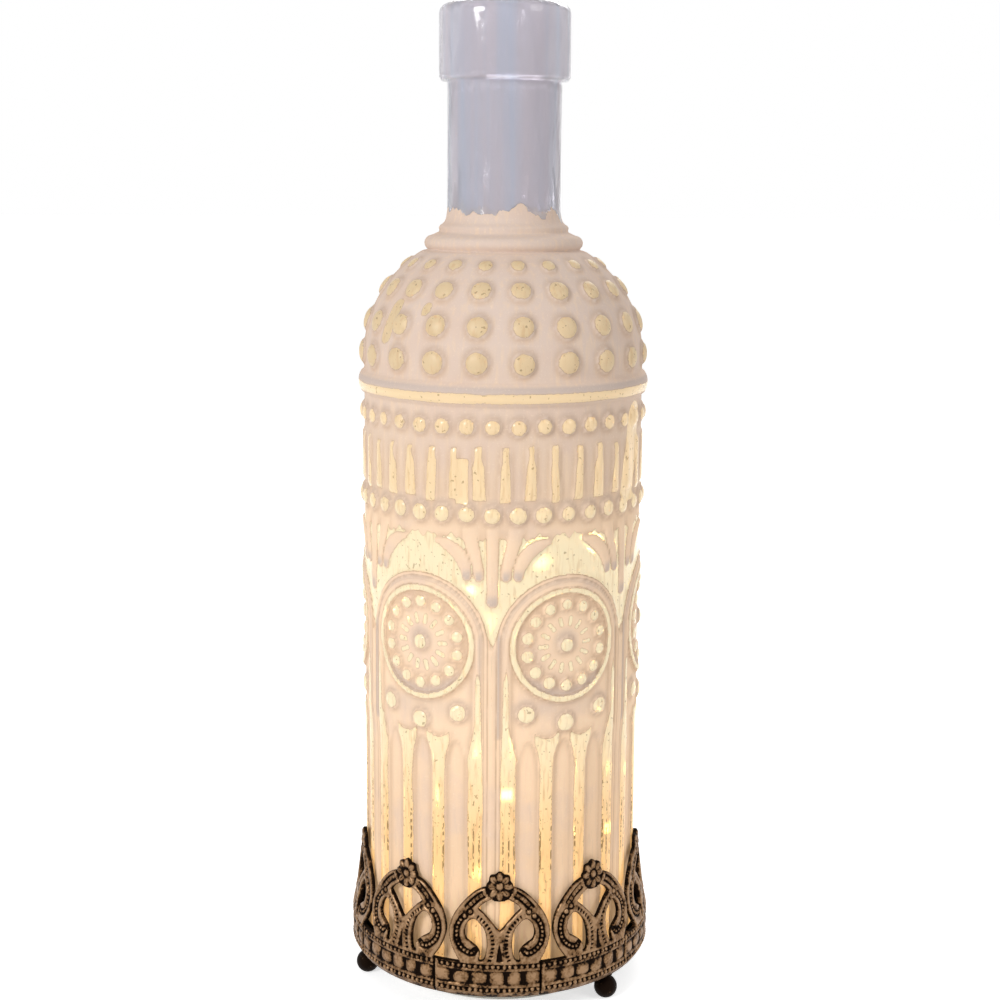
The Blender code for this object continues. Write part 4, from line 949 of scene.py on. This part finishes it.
# %% [markdown]
# The wire is really two enamelled strands twisted round each other. A curve with a round bevel draws each
# strand, and a small turning offset from the route gives the twist.

# %% Light string: wire
STRAND_R, STRAND_OUT = 0.2, 0.22        # mm; a strand's radius, and how far it runs from the middle
TWIST, POINTS_A_TWIST = 5.0, 6.0


def twisted_wire():
    curve = bpy.data.curves.new("twisted_wire", "CURVE")
    curve.dimensions = "3D"
    curve.bevel_depth = STRAND_R * MM
    curve.bevel_resolution = 1
    curve.use_fill_caps = True
    along = walked(route)
    places = np.arange(0.0, along[-1], TWIST / POINTS_A_TWIST)
    line = np.stack([np.interp(places, along, route[:, k]) for k in range(3)], axis=1)
    way = directions(line)
    aside = np.cross(way, (0.37, 0.21, 0.9))
    aside /= np.linalg.norm(aside, axis=1)[:, None]
    up = np.cross(way, aside)
    turn_by = 2 * math.pi * places / TWIST
    for start in (0.0, math.pi):
        swing = np.cos(turn_by + start)[:, None] * aside + np.sin(turn_by + start)[:, None] * up
        strand = (line + STRAND_OUT * swing) * MM
        spline = curve.splines.new("POLY")
        spline.points.add(len(strand) - 1)
        spline.points.foreach_set("co", np.column_stack([strand, np.ones(len(strand))]).ravel())
    return add_object("twisted_wire", curve)


def copper_finish():
    mat, tree, shader = start_finish("copper_wire", (0.7, 0.42, 0.2), 0.3, 0.9)
    tone = spots(tree, 900.0, 2.0)
    color = blend_colors(tree, fade(tree, tone, 0.35, 0.65), (0.48, 0.26, 0.12), (0.86, 0.58, 0.32))
    tree.links.new(color, shader.inputs["Base Color"])
    roughen(tree, shader, tone, 0.02 * MM)
    return mat


wire = twisted_wire()
wire.data.materials.append(copper_finish())
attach(wire, "root")
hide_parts("light_wire")
print("wire strands:", len(wire.data.splines))

# %% [markdown]
# The lamps are drops of clear resin over a tiny chip. A drop is a turned form, and the chip is a small cube
# with its edges bevelled. One mesh serves all of them, each turned to lie along the wire.

# %% Light string: shape of a lamp
DROP = ((0.32, -2.48), (0.75, -2.3), (1.25, -1.8), (1.62, -1.1), (1.8, -0.3), (1.78, 0.5), (1.55, 1.25),
        (1.1, 1.9), (0.62, 2.3), (0.32, 2.48))
CHIP_SIZE, CHIP_BEVEL = (0.9, 1.4, 1.7), 0.15


def lathe_mesh(profile, sides, closed=False):
    """A turned mesh from points of radius and height in mm, in metres."""
    bm = bmesh.new()
    turns = [2 * math.pi * i / sides for i in range(sides)]
    rows = []
    for radius, height in profile:
        if radius < 1e-6:
            rows.append([bm.verts.new((0.0, 0.0, height * MM))] * sides)
            continue
        ring = [(radius * MM * math.sin(t), -radius * MM * math.cos(t), height * MM) for t in turns]
        rows.append([bm.verts.new(point) for point in ring])
    pairs = list(zip(rows, rows[1:])) + ([(rows[-1], rows[0])] if closed else [])
    for low, high in pairs:
        for i in range(sides):
            j = (i + 1) % sides
            corners = list(dict.fromkeys((low[i], low[j], high[j], high[i])))
            if len(corners) > 2:
                bm.faces.new(corners)
    bmesh.ops.recalc_face_normals(bm, faces=bm.faces)
    return bm


def place_mesh(name, bm, *mats):
    """Turn a bmesh into an object in the scene with these finishes."""
    mesh = bpy.data.meshes.new(name)
    bm.to_mesh(mesh)
    bm.free()
    mesh.shade_smooth()
    mesh.set_sharp_from_angle(angle=math.radians(38))
    for mat in mats:
        mesh.materials.append(mat)
    return add_object(name, mesh)


def lamp_mesh():
    """A drop of resin, 5 mm long, with a chip in the middle of it."""
    bm = lathe_mesh(smooth_path(DROP, 2), 20, closed=True)
    chip = bmesh.ops.create_cube(bm, size=1.0)
    bmesh.ops.scale(bm, vec=[side * MM for side in CHIP_SIZE], verts=chip["verts"])
    chip_faces = {face for vert in chip["verts"] for face in vert.link_faces}
    for face in chip_faces:
        face.material_index = 1
    chip_edges = list({edge for face in chip_faces for edge in face.edges})
    bmesh.ops.bevel(bm, geom=chip_edges, offset=CHIP_BEVEL * MM, segments=2, affect="EDGES", material=1)
    return bm


print("a lamp is", round(DROP[-1][1] - DROP[0][1], 1), "mm long")

# %% [markdown]
# The resin glows a little and the chip a lot, as a lit lamp does: the eye sees a white-hot point in a warm
# drop. A slight cloud in both keeps them from looking painted.

# %% Light string: lamps
RESIN_GLOW, CHIP_GLOW = 5.0, 20.0


def glowing(tree, shader, noise, first, second, strength):
    tree.links.new(two_tones(tree, noise, first, second), shader.inputs["Emission Color"])
    shader.inputs["Emission Strength"].default_value = strength


def resin_finish():
    mat, tree, shader = start_finish("led_resin", (1.0, 0.88, 0.62), 0.12)
    shader.inputs["Transmission Weight"].default_value = 0.5
    cloud = spots(tree, 800.0, 2.0)
    glowing(tree, shader, cloud, (1.0, 0.66, 0.26), (1.0, 0.82, 0.46), RESIN_GLOW)
    roughen(tree, shader, cloud, 0.03 * MM)
    return mat


def chip_finish():
    mat, tree, shader = start_finish("led_chip", (1.0, 0.9, 0.6), 0.4)
    glowing(tree, shader, spots(tree, 3000.0, 1.0), (1.0, 0.84, 0.5), (1.0, 0.93, 0.74), CHIP_GLOW)
    return mat


lamp = place_mesh("led_drop_1", lamp_mesh(), resin_finish(), chip_finish())
for k, at in enumerate(lamp_index):
    if k:
        lamp = add_object(f"led_drop_{k + 1}", lamp.data)
    spin = Vector((0, 0, 1)).rotation_difference(Vector(route_way[at])).to_matrix().to_4x4()
    lamp.matrix_world = Matrix.Translation(Vector(route[at]) * MM) @ spin
    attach(lamp, "root")
    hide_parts(f"led_bead_{k + 1}")
print("lamps on the wire:", len(lamp_index))

# %% [markdown]
# The crown is nine castings, all from one mould, lapped end to end round the pan. One casting is drawn
# flat, in millimetres from the middle of its arch and from the top edge of its band, as outlines that the
# metal fills. The right half is drawn, and the arch's left half is its mirror image.

# %% Crown: outlines
CROWN_UNITS, CROWN_T = 9, 1.6
BELLY_R, LOW_R, LEAN = 50.1, 48.7, 3.2
BAND_H, BAND_ROLL = 12.0, 2.5
ARCH_H, FLOWER_R = 24.2, 4.7
PITCH = 2 * math.pi * BELLY_R / CROWN_UNITS
BAND_LEFT = -math.radians(24.5) * BELLY_R
BAND_RIGHT = BAND_LEFT + PITCH - 0.3

LOBE = ((12.8, 0.0), (14.9, 3.1), (16.5, 6.8), (16.9, 10.4), (15.2, 15.2), (11.6, 19.6), (7.9, 22.7),
        (4.6, 24.0))
TOP_HOLE = [(0.0, 9.9), (1.2, 11.0), (2.9, 12.9), (5.2, 15.2), (7.3, 16.9), (6.2, 18.2), (4.6, 19.3),
            (3.0, 20.1), (1.5, 19.5), (0.0, 19.4)]
SIDE_HOLE = ((8.6, 13.7), (6.9, 12.7), (5.3, 10.9), (4.4, 8.6), (4.1, 5.8), (4.4, 3.2), (5.2, 1.1),
             (6.5, 0.8), (6.4, 2.2), (6.5, 3.6), (7.6, 5.0), (9.4, 6.2), (11.1, 7.4), (11.7, 9.4),
             (11.2, 11.6), (10.0, 13.1))


def mirrored(points):
    return [(-u, v) for u, v in reversed(points)]


def crown_loops():
    """The casting's outer edge and its openings."""
    lobe = [tuple(p) for p in smooth_path(LOBE, 6)]
    turns = np.radians(np.linspace(-12.0, 192.0, 80))
    petals = FLOWER_R - 0.3 + 0.3 * np.cos(8.0 * (turns - math.pi / 2))
    flower = [(r * math.cos(t), ARCH_H + r * math.sin(t)) for r, t in zip(petals, turns)]
    outer = [(BAND_LEFT, -BAND_H), (BAND_RIGHT, -BAND_H), (BAND_RIGHT, 0.0)] + lobe + flower + mirrored(lobe)
    outer.append((BAND_LEFT, 0.0))
    side = [tuple(p) for p in smooth_path(SIDE_HOLE, 4, closed=True)]
    return [outer, TOP_HOLE + mirrored(TOP_HOLE), side, mirrored(side)]


loops = crown_loops()
print("casting:", round(BAND_RIGHT - BAND_LEFT, 1), "mm of band and", len(loops) - 1, "openings")

# %% [markdown]
# The metal's relief is again a height field, from 0 in the deepest groove to 1 on the highest rim.
# Distances to the edge and to a few drawn centre lines are all it needs. First comes a rim along every
# edge.

# %% Crown: field and rim
CELL = 0.28                     # mm between points of the casting's mesh
FIELD, RIM = 0.74, 0.2
# across and up on the flat casting, in mm, and across without its sign
us = np.arange(BAND_LEFT - 2 * CELL, 17.6, CELL)
vs = np.arange(-BAND_H - 2 * CELL, ARCH_H + FLOWER_R + 2 * CELL, CELL)
cu, cv = np.meshgrid(us, vs)
au = abs(cu)


def edge_depth(loops):
    """How far inside the metal each point lies, negative outside it."""
    best = np.full(cu.shape, 99.0)
    inside = np.zeros(cu.shape, dtype=bool)
    for loop in loops:
        for (x0, y0), (x1, y1) in zip(loop, loop[1:] + loop[:1]):
            dx, dy = x1 - x0, y1 - y0
            if dx * dx + dy * dy < 1e-12:
                continue
            t = np.clip(((cu - x0) * dx + (cv - y0) * dy) / (dx * dx + dy * dy), 0.0, 1.0)
            best = np.minimum(best, np.hypot(cu - x0 - t * dx, cv - y0 - t * dy))
            if dy:
                inside ^= ((y0 > cv) != (y1 > cv)) & (cu < dx * (cv - y0) / dy + x0)
    return np.where(inside, best, -best)


depth = edge_depth(loops)
cast = np.full(cu.shape, FIELD)
cast += RIM * np.clip(1.0 - (abs(depth - 0.7) / 0.65) ** 2, 0.0, 1.0)
print("casting drawn on", cast.size, "points")

# %% [markdown]
# Inside the rim, a groove with beads in it runs down each scroll, twin grooves lead up to the flower, the
# struts are milled across, and two small studs sit where scroll and strut meet.

# %% Crown: scrolls and struts
SCROLL = ((11.8, 14.6), (13.7, 12.0), (14.3, 9.0), (13.7, 6.2), (12.1, 4.2), (10.3, 3.2), (8.7, 3.1),
          (8.0, 3.9))
UPPER_ARM = ((5.0, 22.0), (7.6, 20.3), (10.1, 17.9), (11.2, 16.4))
STRUT = ((8.9, 15.2), (6.6, 14.0), (4.4, 12.0), (3.0, 9.9), (2.25, 7.5), (2.1, 5.2), (2.5, 2.8), (3.2, 0.4))
STUDS, STUD_R = ((9.9, 15.9), (11.7, 14.4)), 0.92
BEAD_PITCH, BEAD_R = 1.32, 0.62
CUT_PITCH, NOTCH_PITCH = 1.5, 1.28
CLEFT_TOP = 6.4


def carve(inside):
    """Cut a groove where the value is positive, with sloping walls a third of a millimetre wide."""
    cast[:] = cast * (1.0 - np.clip(inside / 0.35, 0.0, 1.0))


def build_up(shape):
    cast[:] = np.maximum(cast, shape)


def knob(distance, power=0.5):
    """1 in the middle, 0 from a distance of 1 on. A small power makes its top flat."""
    return np.clip(1.0 - distance ** 2, 0.0, 1.0) ** power


off_line, place, whole = along_line(SCROLL, au, cv)
carve(np.minimum(1.15 - abs(off_line), np.minimum(place - 0.3, whole - place + 0.6)))
step = place - (np.floor(place / BEAD_PITCH) + 0.5) * BEAD_PITCH
build_up(0.93 * knob(np.hypot(off_line, step) / BEAD_R) * (place > 0.6) * (place < whole - 0.3))

off_line, place, whole = along_line(UPPER_ARM, au, cv)
ends = np.minimum(place - 0.2, whole - place - 0.2)
carve(np.minimum(0.42 - abs(abs(off_line) - 0.92), ends))
cut = 0.2 - abs(np.mod(place, CUT_PITCH) - 0.5 * CUT_PITCH)
carve(np.minimum(cut, np.minimum(0.9 - abs(off_line), ends)))

off_line, place, whole = along_line(STRUT, au, cv)
notch = 0.34 - abs(np.mod(place, NOTCH_PITCH) - 0.5 * NOTCH_PITCH)
carve(np.minimum(np.minimum(notch, 0.62 - abs(off_line)), np.minimum(place - 1.4, whole - place)) * 1.6)
carve(np.minimum(0.16 + 0.17 * (CLEFT_TOP - cv) - au, np.minimum(CLEFT_TOP - cv, cv - 0.3)))

for stud_u, stud_v in STUDS:
    far = np.hypot(au - stud_u, cv - stud_v)
    carve(1.25 - far)
    build_up(0.98 * knob(far / STUD_R))
print("scrolls, arms and struts carved")

# %% [markdown]
# The flower has eight petals round a button. They are built up from a sunk ground, each with a crease down
# its middle, as the photograph shows them.

# %% Crown: flower
FLOWER_PETALS, PETAL_MIDDLE, FLOWER_GROUND = 8, 3.1, 0.18
from_middle = np.hypot(cu, cv - ARCH_H)
petal_step = 2.0 * math.pi / FLOWER_PETALS
around = np.arctan2(cv - ARCH_H, cu) - math.pi / 2 + 0.5 * petal_step
petal_turn = np.mod(around, petal_step) - 0.5 * petal_step
petal_aside = from_middle * np.sin(petal_turn)
cast[:] = np.where(from_middle < FLOWER_R + 0.1, FLOWER_GROUND, cast)
petal = 0.95 * knob(np.hypot((from_middle - PETAL_MIDDLE) / 1.7, petal_aside / 1.15), 0.45)
build_up(np.where(from_middle < FLOWER_R + 0.5, petal, 0.0))
crease = 0.5 * np.clip((0.2 - abs(petal_aside)) / 0.2, 0.0, 1.0)
cast -= np.where((from_middle > 1.6) & (from_middle < 3.4), crease, 0.0)
build_up(np.where(from_middle < 1.5, knob(from_middle / 1.3, 0.4), 0.0))
print("flower:", FLOWER_PETALS, "petals,", round(2.0 * FLOWER_R, 1), "mm across")

# %% [markdown]
# The band carries small beads along both edges and a row of oval bosses between them. Real castings are
# never quite even, so each boss and bead varies a little. One end of the band is thinner, where it laps its
# neighbour, and all edges of the casting are rounded over.

# %% Crown: band
BOSSES, BOSS_ROW, BAND_BEADS, BEAD_ROWS = 6, -5.0, 19, (-1.15, -8.95)
LAP, PLAIN_FROM = 1.1, -10.0
ROUND_OVER = 0.55
on_band = cv < -0.15
band_place = cu - BAND_LEFT
cast[:] = np.where(on_band, 0.7, cast)
band_dice = np.random.default_rng(5)


def band_row(middle, count, half_wide, half_high, square):
    """A row of bosses along the band, each one a little off."""
    pitch = PITCH / count
    number = np.clip((band_place / pitch).astype(int), 0, count - 1)
    wide = half_wide * band_dice.uniform(0.86, 1.08, count)[number]
    high = half_high * band_dice.uniform(0.88, 1.06, count)[number]
    shift = band_dice.uniform(-0.06, 0.06, count)[number] * pitch
    x = abs(band_place - (number + 0.5) * pitch - shift) / wide
    y = abs(cv - middle) / high
    return np.clip(1.0 - (x ** square + y ** square) ** (2.0 / square), 0.0, 1.0) ** 0.4


for middle, half in ((BOSS_ROW, 2.35), (BEAD_ROWS[0], 0.85), (BEAD_ROWS[1], 0.85)):
    carve(np.where(on_band, half - abs(cv - middle), -1.0))
bosses = 0.9 * band_row(BOSS_ROW, BOSSES, 2.75, 2.4, 3.4)
pearls = np.maximum(*[band_row(middle, BAND_BEADS, 0.72, 0.78, 2.0) for middle in BEAD_ROWS])
build_up(np.where(on_band, np.maximum(bosses, 0.95 * pearls), 0.0))
lapped = 0.35 + 0.5 * np.clip(band_place / LAP, 0.0, 1.0) ** 0.5
cast[:] = np.where(on_band & (band_place < LAP), lapped, cast)
cast[:] = np.where(cv < PLAIN_FROM, 0.72 - 0.1 * (PLAIN_FROM - cv), cast)

cast = np.clip(cast, 0.0, 1.0)
round_over = 1.0 - np.clip(depth / ROUND_OVER, 0.0, 1.0)
cast -= 0.45 * (1.0 - np.sqrt(np.clip(1.0 - round_over ** 2, 0.0, 1.0)))
cast = np.clip(cast, 0.0, 1.0)
print("band:", BOSSES, "bosses and", len(BEAD_ROWS) * BAND_BEADS, "beads on each casting")

# %% [markdown]
# To turn the field into metal, points near an edge are first pulled onto it, so that the outline is smooth,
# and the cells inside are kept. A second copy of the points makes the back, walls join the two, and the
# whole sheet is bent round the stand with the same curve as the frame's casting.

# %% Crown: mesh
PAN_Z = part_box("stand_pan")[0][2] / MM
RELIEF_DEPTH = 0.95             # mm from the highest rim to the deepest groove
SNAP = 0.72 * CELL              # points this near an edge are pulled onto it
BACK_WEAR = 0.3


def crown_radius(over_edge):
    """Outer radius of the casting at a height over the band's lower edge."""
    tip = BAND_H + ARCH_H + FLOWER_R
    rise = np.clip((over_edge - BAND_H) / (tip - BAND_H), 0.0, 1.0)
    low = np.clip(over_edge / BAND_ROLL, 0.0, 1.0)
    return LOW_R + (BELLY_R - LOW_R) * low - LEAN * np.sin(0.5 * math.pi * rise)


def four_corners(field):
    """A field's values at the four corners of every cell, in order round the cell."""
    return field[:-1, :-1], field[:-1, 1:], field[1:, 1:], field[1:, :-1]


def flat_metal():
    """The points, pulled onto the outline near an edge, and the cells that lie in the metal."""
    slope_v, slope_u = np.gradient(depth, CELL)
    steep = np.maximum(np.hypot(slope_u, slope_v), 0.3)
    pull = np.where(abs(depth) < SNAP, -depth / steep, 0.0)
    keep = np.all(four_corners(depth > -SNAP), axis=0) & (sum(four_corners(depth)) > 0.0)
    cells = np.stack(four_corners(np.arange(cu.size).reshape(cu.shape)), axis=-1)[keep]
    return cu + pull * slope_u / steep, cv + pull * slope_v / steep, cells


def casting_mesh():
    fu, fv, cells = flat_metal()
    used, compact = np.unique(cells, return_inverse=True)
    cells = compact.reshape(cells.shape)
    u, v, w = (field.ravel()[used] for field in (fu, fv, cast))
    over_edge = np.clip(v + BAND_H, 0.0, None)
    turns = u / BELLY_R
    skins = []
    for inset in ((1.0 - w) * RELIEF_DEPTH, np.full_like(u, CROWN_T)):
        radius = crown_radius(over_edge) - inset
        skins.append(np.stack([radius * np.sin(turns), -radius * np.cos(turns), PAN_Z + over_edge], axis=-1))

    count = len(used)
    edges = np.concatenate([cells[:, [k, (k + 1) % 4]] for k in range(4)])
    keys, back_keys = edges[:, 0] * count + edges[:, 1], edges[:, 1] * count + edges[:, 0]
    rim = edges[~np.isin(keys, back_keys)]
    walls = np.stack([rim[:, 1], rim[:, 0], rim[:, 0] + count, rim[:, 1] + count], axis=-1)
    faces = np.concatenate([cells, cells[:, ::-1] + count, walls])
    mesh = bpy.data.meshes.new("casting")
    mesh.from_pydata((np.vstack(skins) * MM).tolist(), [], faces.tolist())
    mesh.shade_smooth()
    mesh.set_sharp_from_angle(angle=math.radians(60))
    store(mesh, "worn", np.concatenate([w, np.full(count, BACK_WEAR)]))
    return mesh


casting = casting_mesh()
print("one casting:", len(casting.polygons), "faces")

# %% [markdown]
# Antique bronze is dark where nobody can rub it and pale where everybody does. The finish follows the
# casting's own relief, stored on its points, and two noises break it up, as years of handling would. The
# mesh is copied and turned nine times rather than shared, so that each piece's box is measured along the
# frame's own axes.

# %% Crown: finish and pieces
HOLLOW_BROWN, SLOPE_BROWN, RUBBED_COPPER = (0.008, 0.003, 0.0008), (0.155, 0.083, 0.037), (0.29, 0.177, 0.096)


def bronze_finish(name, worn_by=None):
    """Cast metal: black-brown in the hollows, brown on the slopes, rubbed copper on the heights."""
    mat, tree, shader = start_finish(name, (0.2, 0.12, 0.07), 0.45, 0.92)
    grit = spots(tree, 1400.0, 3.0)
    cloud = spots(tree, 330.0, 3.0)
    worn = attribute(tree, worn_by) if worn_by else fade(tree, cloud, 0.45, 1.3)
    worn = jitter(tree, jitter(tree, worn, grit, 0.9), cloud, 1.5)
    color = blend_colors(tree, fade(tree, worn, 0.42, 0.62), HOLLOW_BROWN, SLOPE_BROWN)
    color = blend_colors(tree, fade(tree, worn, 0.60, 1.0), color, RUBBED_COPPER)
    tree.links.new(color, shader.inputs["Base Color"])
    rough = calc(tree, "MULTIPLY_ADD", fade(tree, worn, 0.3, 0.95), -0.28, 0.68)
    tree.links.new(rough, shader.inputs["Roughness"])
    roughen(tree, shader, grit, 0.08 * MM, 0.7)
    return mat


casting.materials.append(bronze_finish("antique_bronze", "worn"))
for k in range(CROWN_UNITS):
    turned = casting.copy()
    turned.transform(Matrix.Rotation(2 * math.pi * k / CROWN_UNITS, 4, "Z"))
    unit = add_object(f"cast_arch_{k + 1}", turned)
    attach(unit, "root")
    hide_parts(f"crown_unit_{k + 1}")
print("crown of", CROWN_UNITS, "castings")

# %% [markdown]
# The pan is a ring pressed from sheet, with a rounded lower edge and a rolled lip. The feet are cast balls,
# flattened a little underneath, on short necks. All are turned forms, so a handful of profile points is
# enough.

# %% Pan and feet
PAN_R, _, PAN_TOP_Z = (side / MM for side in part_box("stand_pan")[1])
PAN_IN_R, PAN_T = 38.0, 0.8
BEND_R, LIP_R = 0.9, 0.4
pan_profile = ellipse((PAN_R - BEND_R, PAN_Z + BEND_R), (BEND_R, BEND_R), -90, 0, 4)
pan_profile += ellipse((PAN_R - LIP_R, PAN_TOP_Z - LIP_R), (LIP_R, LIP_R), 0, 180, 6)
pan_profile += ellipse((PAN_R - PAN_T - LIP_R, PAN_Z + PAN_T + LIP_R), (LIP_R, LIP_R), 0, -90, 3)
pan_profile += [(PAN_IN_R + 0.2, PAN_Z + PAN_T), (PAN_IN_R, PAN_Z + 0.5 * PAN_T), (PAN_IN_R + 0.2, PAN_Z)]
pan = place_mesh("pressed_pan", lathe_mesh(pan_profile, 180, closed=True), bronze_finish("bronzed_sheet"))
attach(pan, "root")
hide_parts("stand_pan")

FEET, FOOT_R, FOOT_FLAT, FOOT_NECK_R = 3, 3.75, 0.3, 1.6
FOOT_GAP = 0.3                  # mm between the top of a foot and the pan
foot_profile = [(0.0, 0.0)] + ellipse((0.0, FOOT_R - FOOT_FLAT), (FOOT_R, FOOT_R), -66, 62, 16)
foot_profile += [(FOOT_NECK_R, PAN_Z - 1.0), (FOOT_NECK_R + 0.3, PAN_Z - 0.5)]
foot_profile += [(FOOT_NECK_R + 0.6, PAN_Z - FOOT_GAP), (0.0, PAN_Z - FOOT_GAP)]
foot_bronze = bronze_finish("foot_bronze")
for k in range(FEET):
    low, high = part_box(f"ball_foot_{k + 1}")
    foot = place_mesh(f"cast_ball_{k + 1}", lathe_mesh(foot_profile, 40), foot_bronze)
    foot.matrix_world = Matrix.Translation((0.5 * (low[0] + high[0]), 0.5 * (low[1] + high[1]), 0.0))
    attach(foot, "root")
    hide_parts(f"ball_foot_{k + 1}")
print("pan", round(PAN_R, 1), "mm in radius, on", FEET, "feet")

# %% [markdown]
# The battery box and what is in it stay as the frame has them, since their shapes are already right. Each
# gets the finish of its real stuff: moulded plastic with a faint grain, plated steel, printed film, green
# laminate.

# %% Finishes of the battery box
def moulded(name, color, roughness):
    """Moulded plastic: a slow change of tone and a fine pitted skin."""
    mat, tree, shader = start_finish(name, color, roughness)
    tone = fade(tree, spots(tree, 90.0, 3.0), 0.3, 0.7)
    darker = tuple(0.9 * c for c in color)
    tree.links.new(blend_colors(tree, tone, darker, color), shader.inputs["Base Color"])
    tree.links.new(calc(tree, "MULTIPLY_ADD", tone, 0.1, roughness - 0.05), shader.inputs["Roughness"])
    roughen(tree, shader, spots(tree, 2600.0, 2.0), 0.03 * MM)
    return mat


def plated():
    mat, tree, shader = start_finish("plated_steel", (0.62, 0.62, 0.6), 0.3, 1.0)
    streaks = spots(tree, 500.0, 3.0, (1.0, 1.0, 0.2))
    color = two_tones(tree, streaks, (0.5, 0.5, 0.48), (0.72, 0.71, 0.68))
    tree.links.new(color, shader.inputs["Base Color"])
    tree.links.new(calc(tree, "MULTIPLY_ADD", streaks, 0.2, 0.2), shader.inputs["Roughness"])
    roughen(tree, shader, streaks, 0.01 * MM)
    return mat


def cell_film():
    """Shrunk film round a cell: dark, with a pale band towards one end."""
    mat, tree, shader = start_finish("cell_jacket", (0.1, 0.12, 0.16), 0.35)
    x = add_node(tree, "ShaderNodeSeparateXYZ", {0: object_coords(tree)}).outputs["X"]
    band = times(tree, fade(tree, x, 8.0 * MM, 8.2 * MM), fade(tree, x, 15.2 * MM, 15.0 * MM))
    tone = spots(tree, 400.0, 2.0)
    dark = blend_colors(tree, tone, (0.07, 0.09, 0.13), (0.13, 0.15, 0.2))
    tree.links.new(blend_colors(tree, band, dark, (0.72, 0.62, 0.35)), shader.inputs["Base Color"])
    roughen(tree, shader, tone, 0.02 * MM)
    return mat


def laminate():
    """Green board: a weave under the mask and pale traces."""
    mat, tree, shader = start_finish("board_laminate", (0.05, 0.22, 0.1), 0.45)
    weave = spots(tree, 1800.0, 1.0)
    waves = {"Vector": object_coords(tree), "Scale": 160.0, "Distortion": 1.5, "Detail": 1.0}
    lines = add_node(tree, "ShaderNodeTexWave", waves)
    trace = fade(tree, lines.outputs["Fac"], 0.86, 0.9)
    mask = blend_colors(tree, weave, (0.035, 0.17, 0.075), (0.07, 0.26, 0.12))
    tree.links.new(blend_colors(tree, trace, mask, (0.16, 0.36, 0.16)), shader.inputs["Base Color"])
    roughen(tree, shader, calc(tree, "MULTIPLY_ADD", trace, 0.6, weave), 0.03 * MM)
    return mat


def dress(mat, *nodes):
    """Give nodes of the frame a finish."""
    for node in nodes:
        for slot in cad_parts[node].material_slots:
            slot.material = mat


dress(moulded("white_plastic", (0.80, 0.76, 0.68), 0.45), "battery_housing", "battery_door")
dress(moulded("lid_plastic", (0.86, 0.80, 0.68), 0.4), "housing_lid")
dress(moulded("black_plastic", (0.03, 0.03, 0.032), 0.45), "switch_knob", "wire_grommet")
dress(plated(), "contact_spring_1", "contact_spring_2", "bridge_plate", "positive_plate", "negative_plate",
      "switch_body", "housing_screw_1", "housing_screw_2", "housing_screw_3")
dress(cell_film(), "aaa_cell_1", "aaa_cell_2")
dress(laminate(), "circuit_board")
print("battery box dressed")

# %% [markdown]
# A wide pale floor catches the lantern's soft shadow, and rays that go past it meet a white sky. Both look
# whiter to the camera than the light they give, so that they don't wash out the glass. A small key lamp on
# the upper left draws out the relief, a softer fill stands on the right, and one lamp lights the lantern
# from behind.

# %% Floor, sky and lamps
FLOOR_R, FLOOR_SIDES = 12.0, 64         # metres
WHITE = (1.0, 1.0, 1.0, 1.0)
AIM_AT = (0.0, 0.0, 0.16)
# name, place, size and watts
LAMPS = (("key", (-0.74, -0.88, 0.66), (0.35, 0.35), 7.6), ("fill", (0.95, -0.6, 0.9), (0.4, 0.8), 3.6),
         ("back", (0.2, 0.9, 0.8), (0.8, 0.4), 4.0))


def seen_directly(tree):
    """1 for rays from the camera, through glass or off a gloss, 0 for the light that falls on things."""
    path = add_node(tree, "ShaderNodeLightPath")
    seen = calc(tree, "MAXIMUM", path.outputs["Is Camera Ray"], path.outputs["Is Transmission Ray"])
    return calc(tree, "MAXIMUM", seen, path.outputs["Is Glossy Ray"])


def make_floor():
    mesh = bpy.data.meshes.new("floor")
    turns = np.linspace(0, 2 * math.pi, FLOOR_SIDES, endpoint=False)
    ring = [(FLOOR_R * math.cos(t), FLOOR_R * math.sin(t), 0.0) for t in turns]
    mesh.from_pydata(ring, [], [list(range(FLOOR_SIDES))])
    floor = add_object("floor", mesh)
    mat, tree, shader = start_finish("pale_floor", (0.92, 0.92, 0.92), 0.9)
    shader.inputs["Emission Color"].default_value = WHITE
    tree.links.new(times(tree, seen_directly(tree), 0.62), shader.inputs["Emission Strength"])
    mesh.materials.append(mat)


def make_sky():
    world = bpy.data.worlds.new("studio")
    bpy.context.scene.world = world
    world.use_nodes = True
    tree = world.node_tree
    sky = tree.nodes["Background"]
    sky.inputs["Color"].default_value = WHITE
    tree.links.new(calc(tree, "MULTIPLY_ADD", seen_directly(tree), 0.6, 0.4), sky.inputs["Strength"])


def make_lamp(name, place, size, watts):
    data = bpy.data.lights.new(name, "AREA")
    data.shape = "RECTANGLE"
    data.size, data.size_y = size
    data.energy = watts
    light = add_object(name, data)
    light.location = place
    aim = Vector(AIM_AT) - Vector(place)
    light.rotation_euler = aim.to_track_quat("-Z", "Y").to_euler()


make_floor()
make_sky()
for lamp_values in LAMPS:
    make_lamp(*lamp_values)
bpy.context.scene.view_settings.view_transform = "Standard"
print("stage and", len(LAMPS), "lamps")
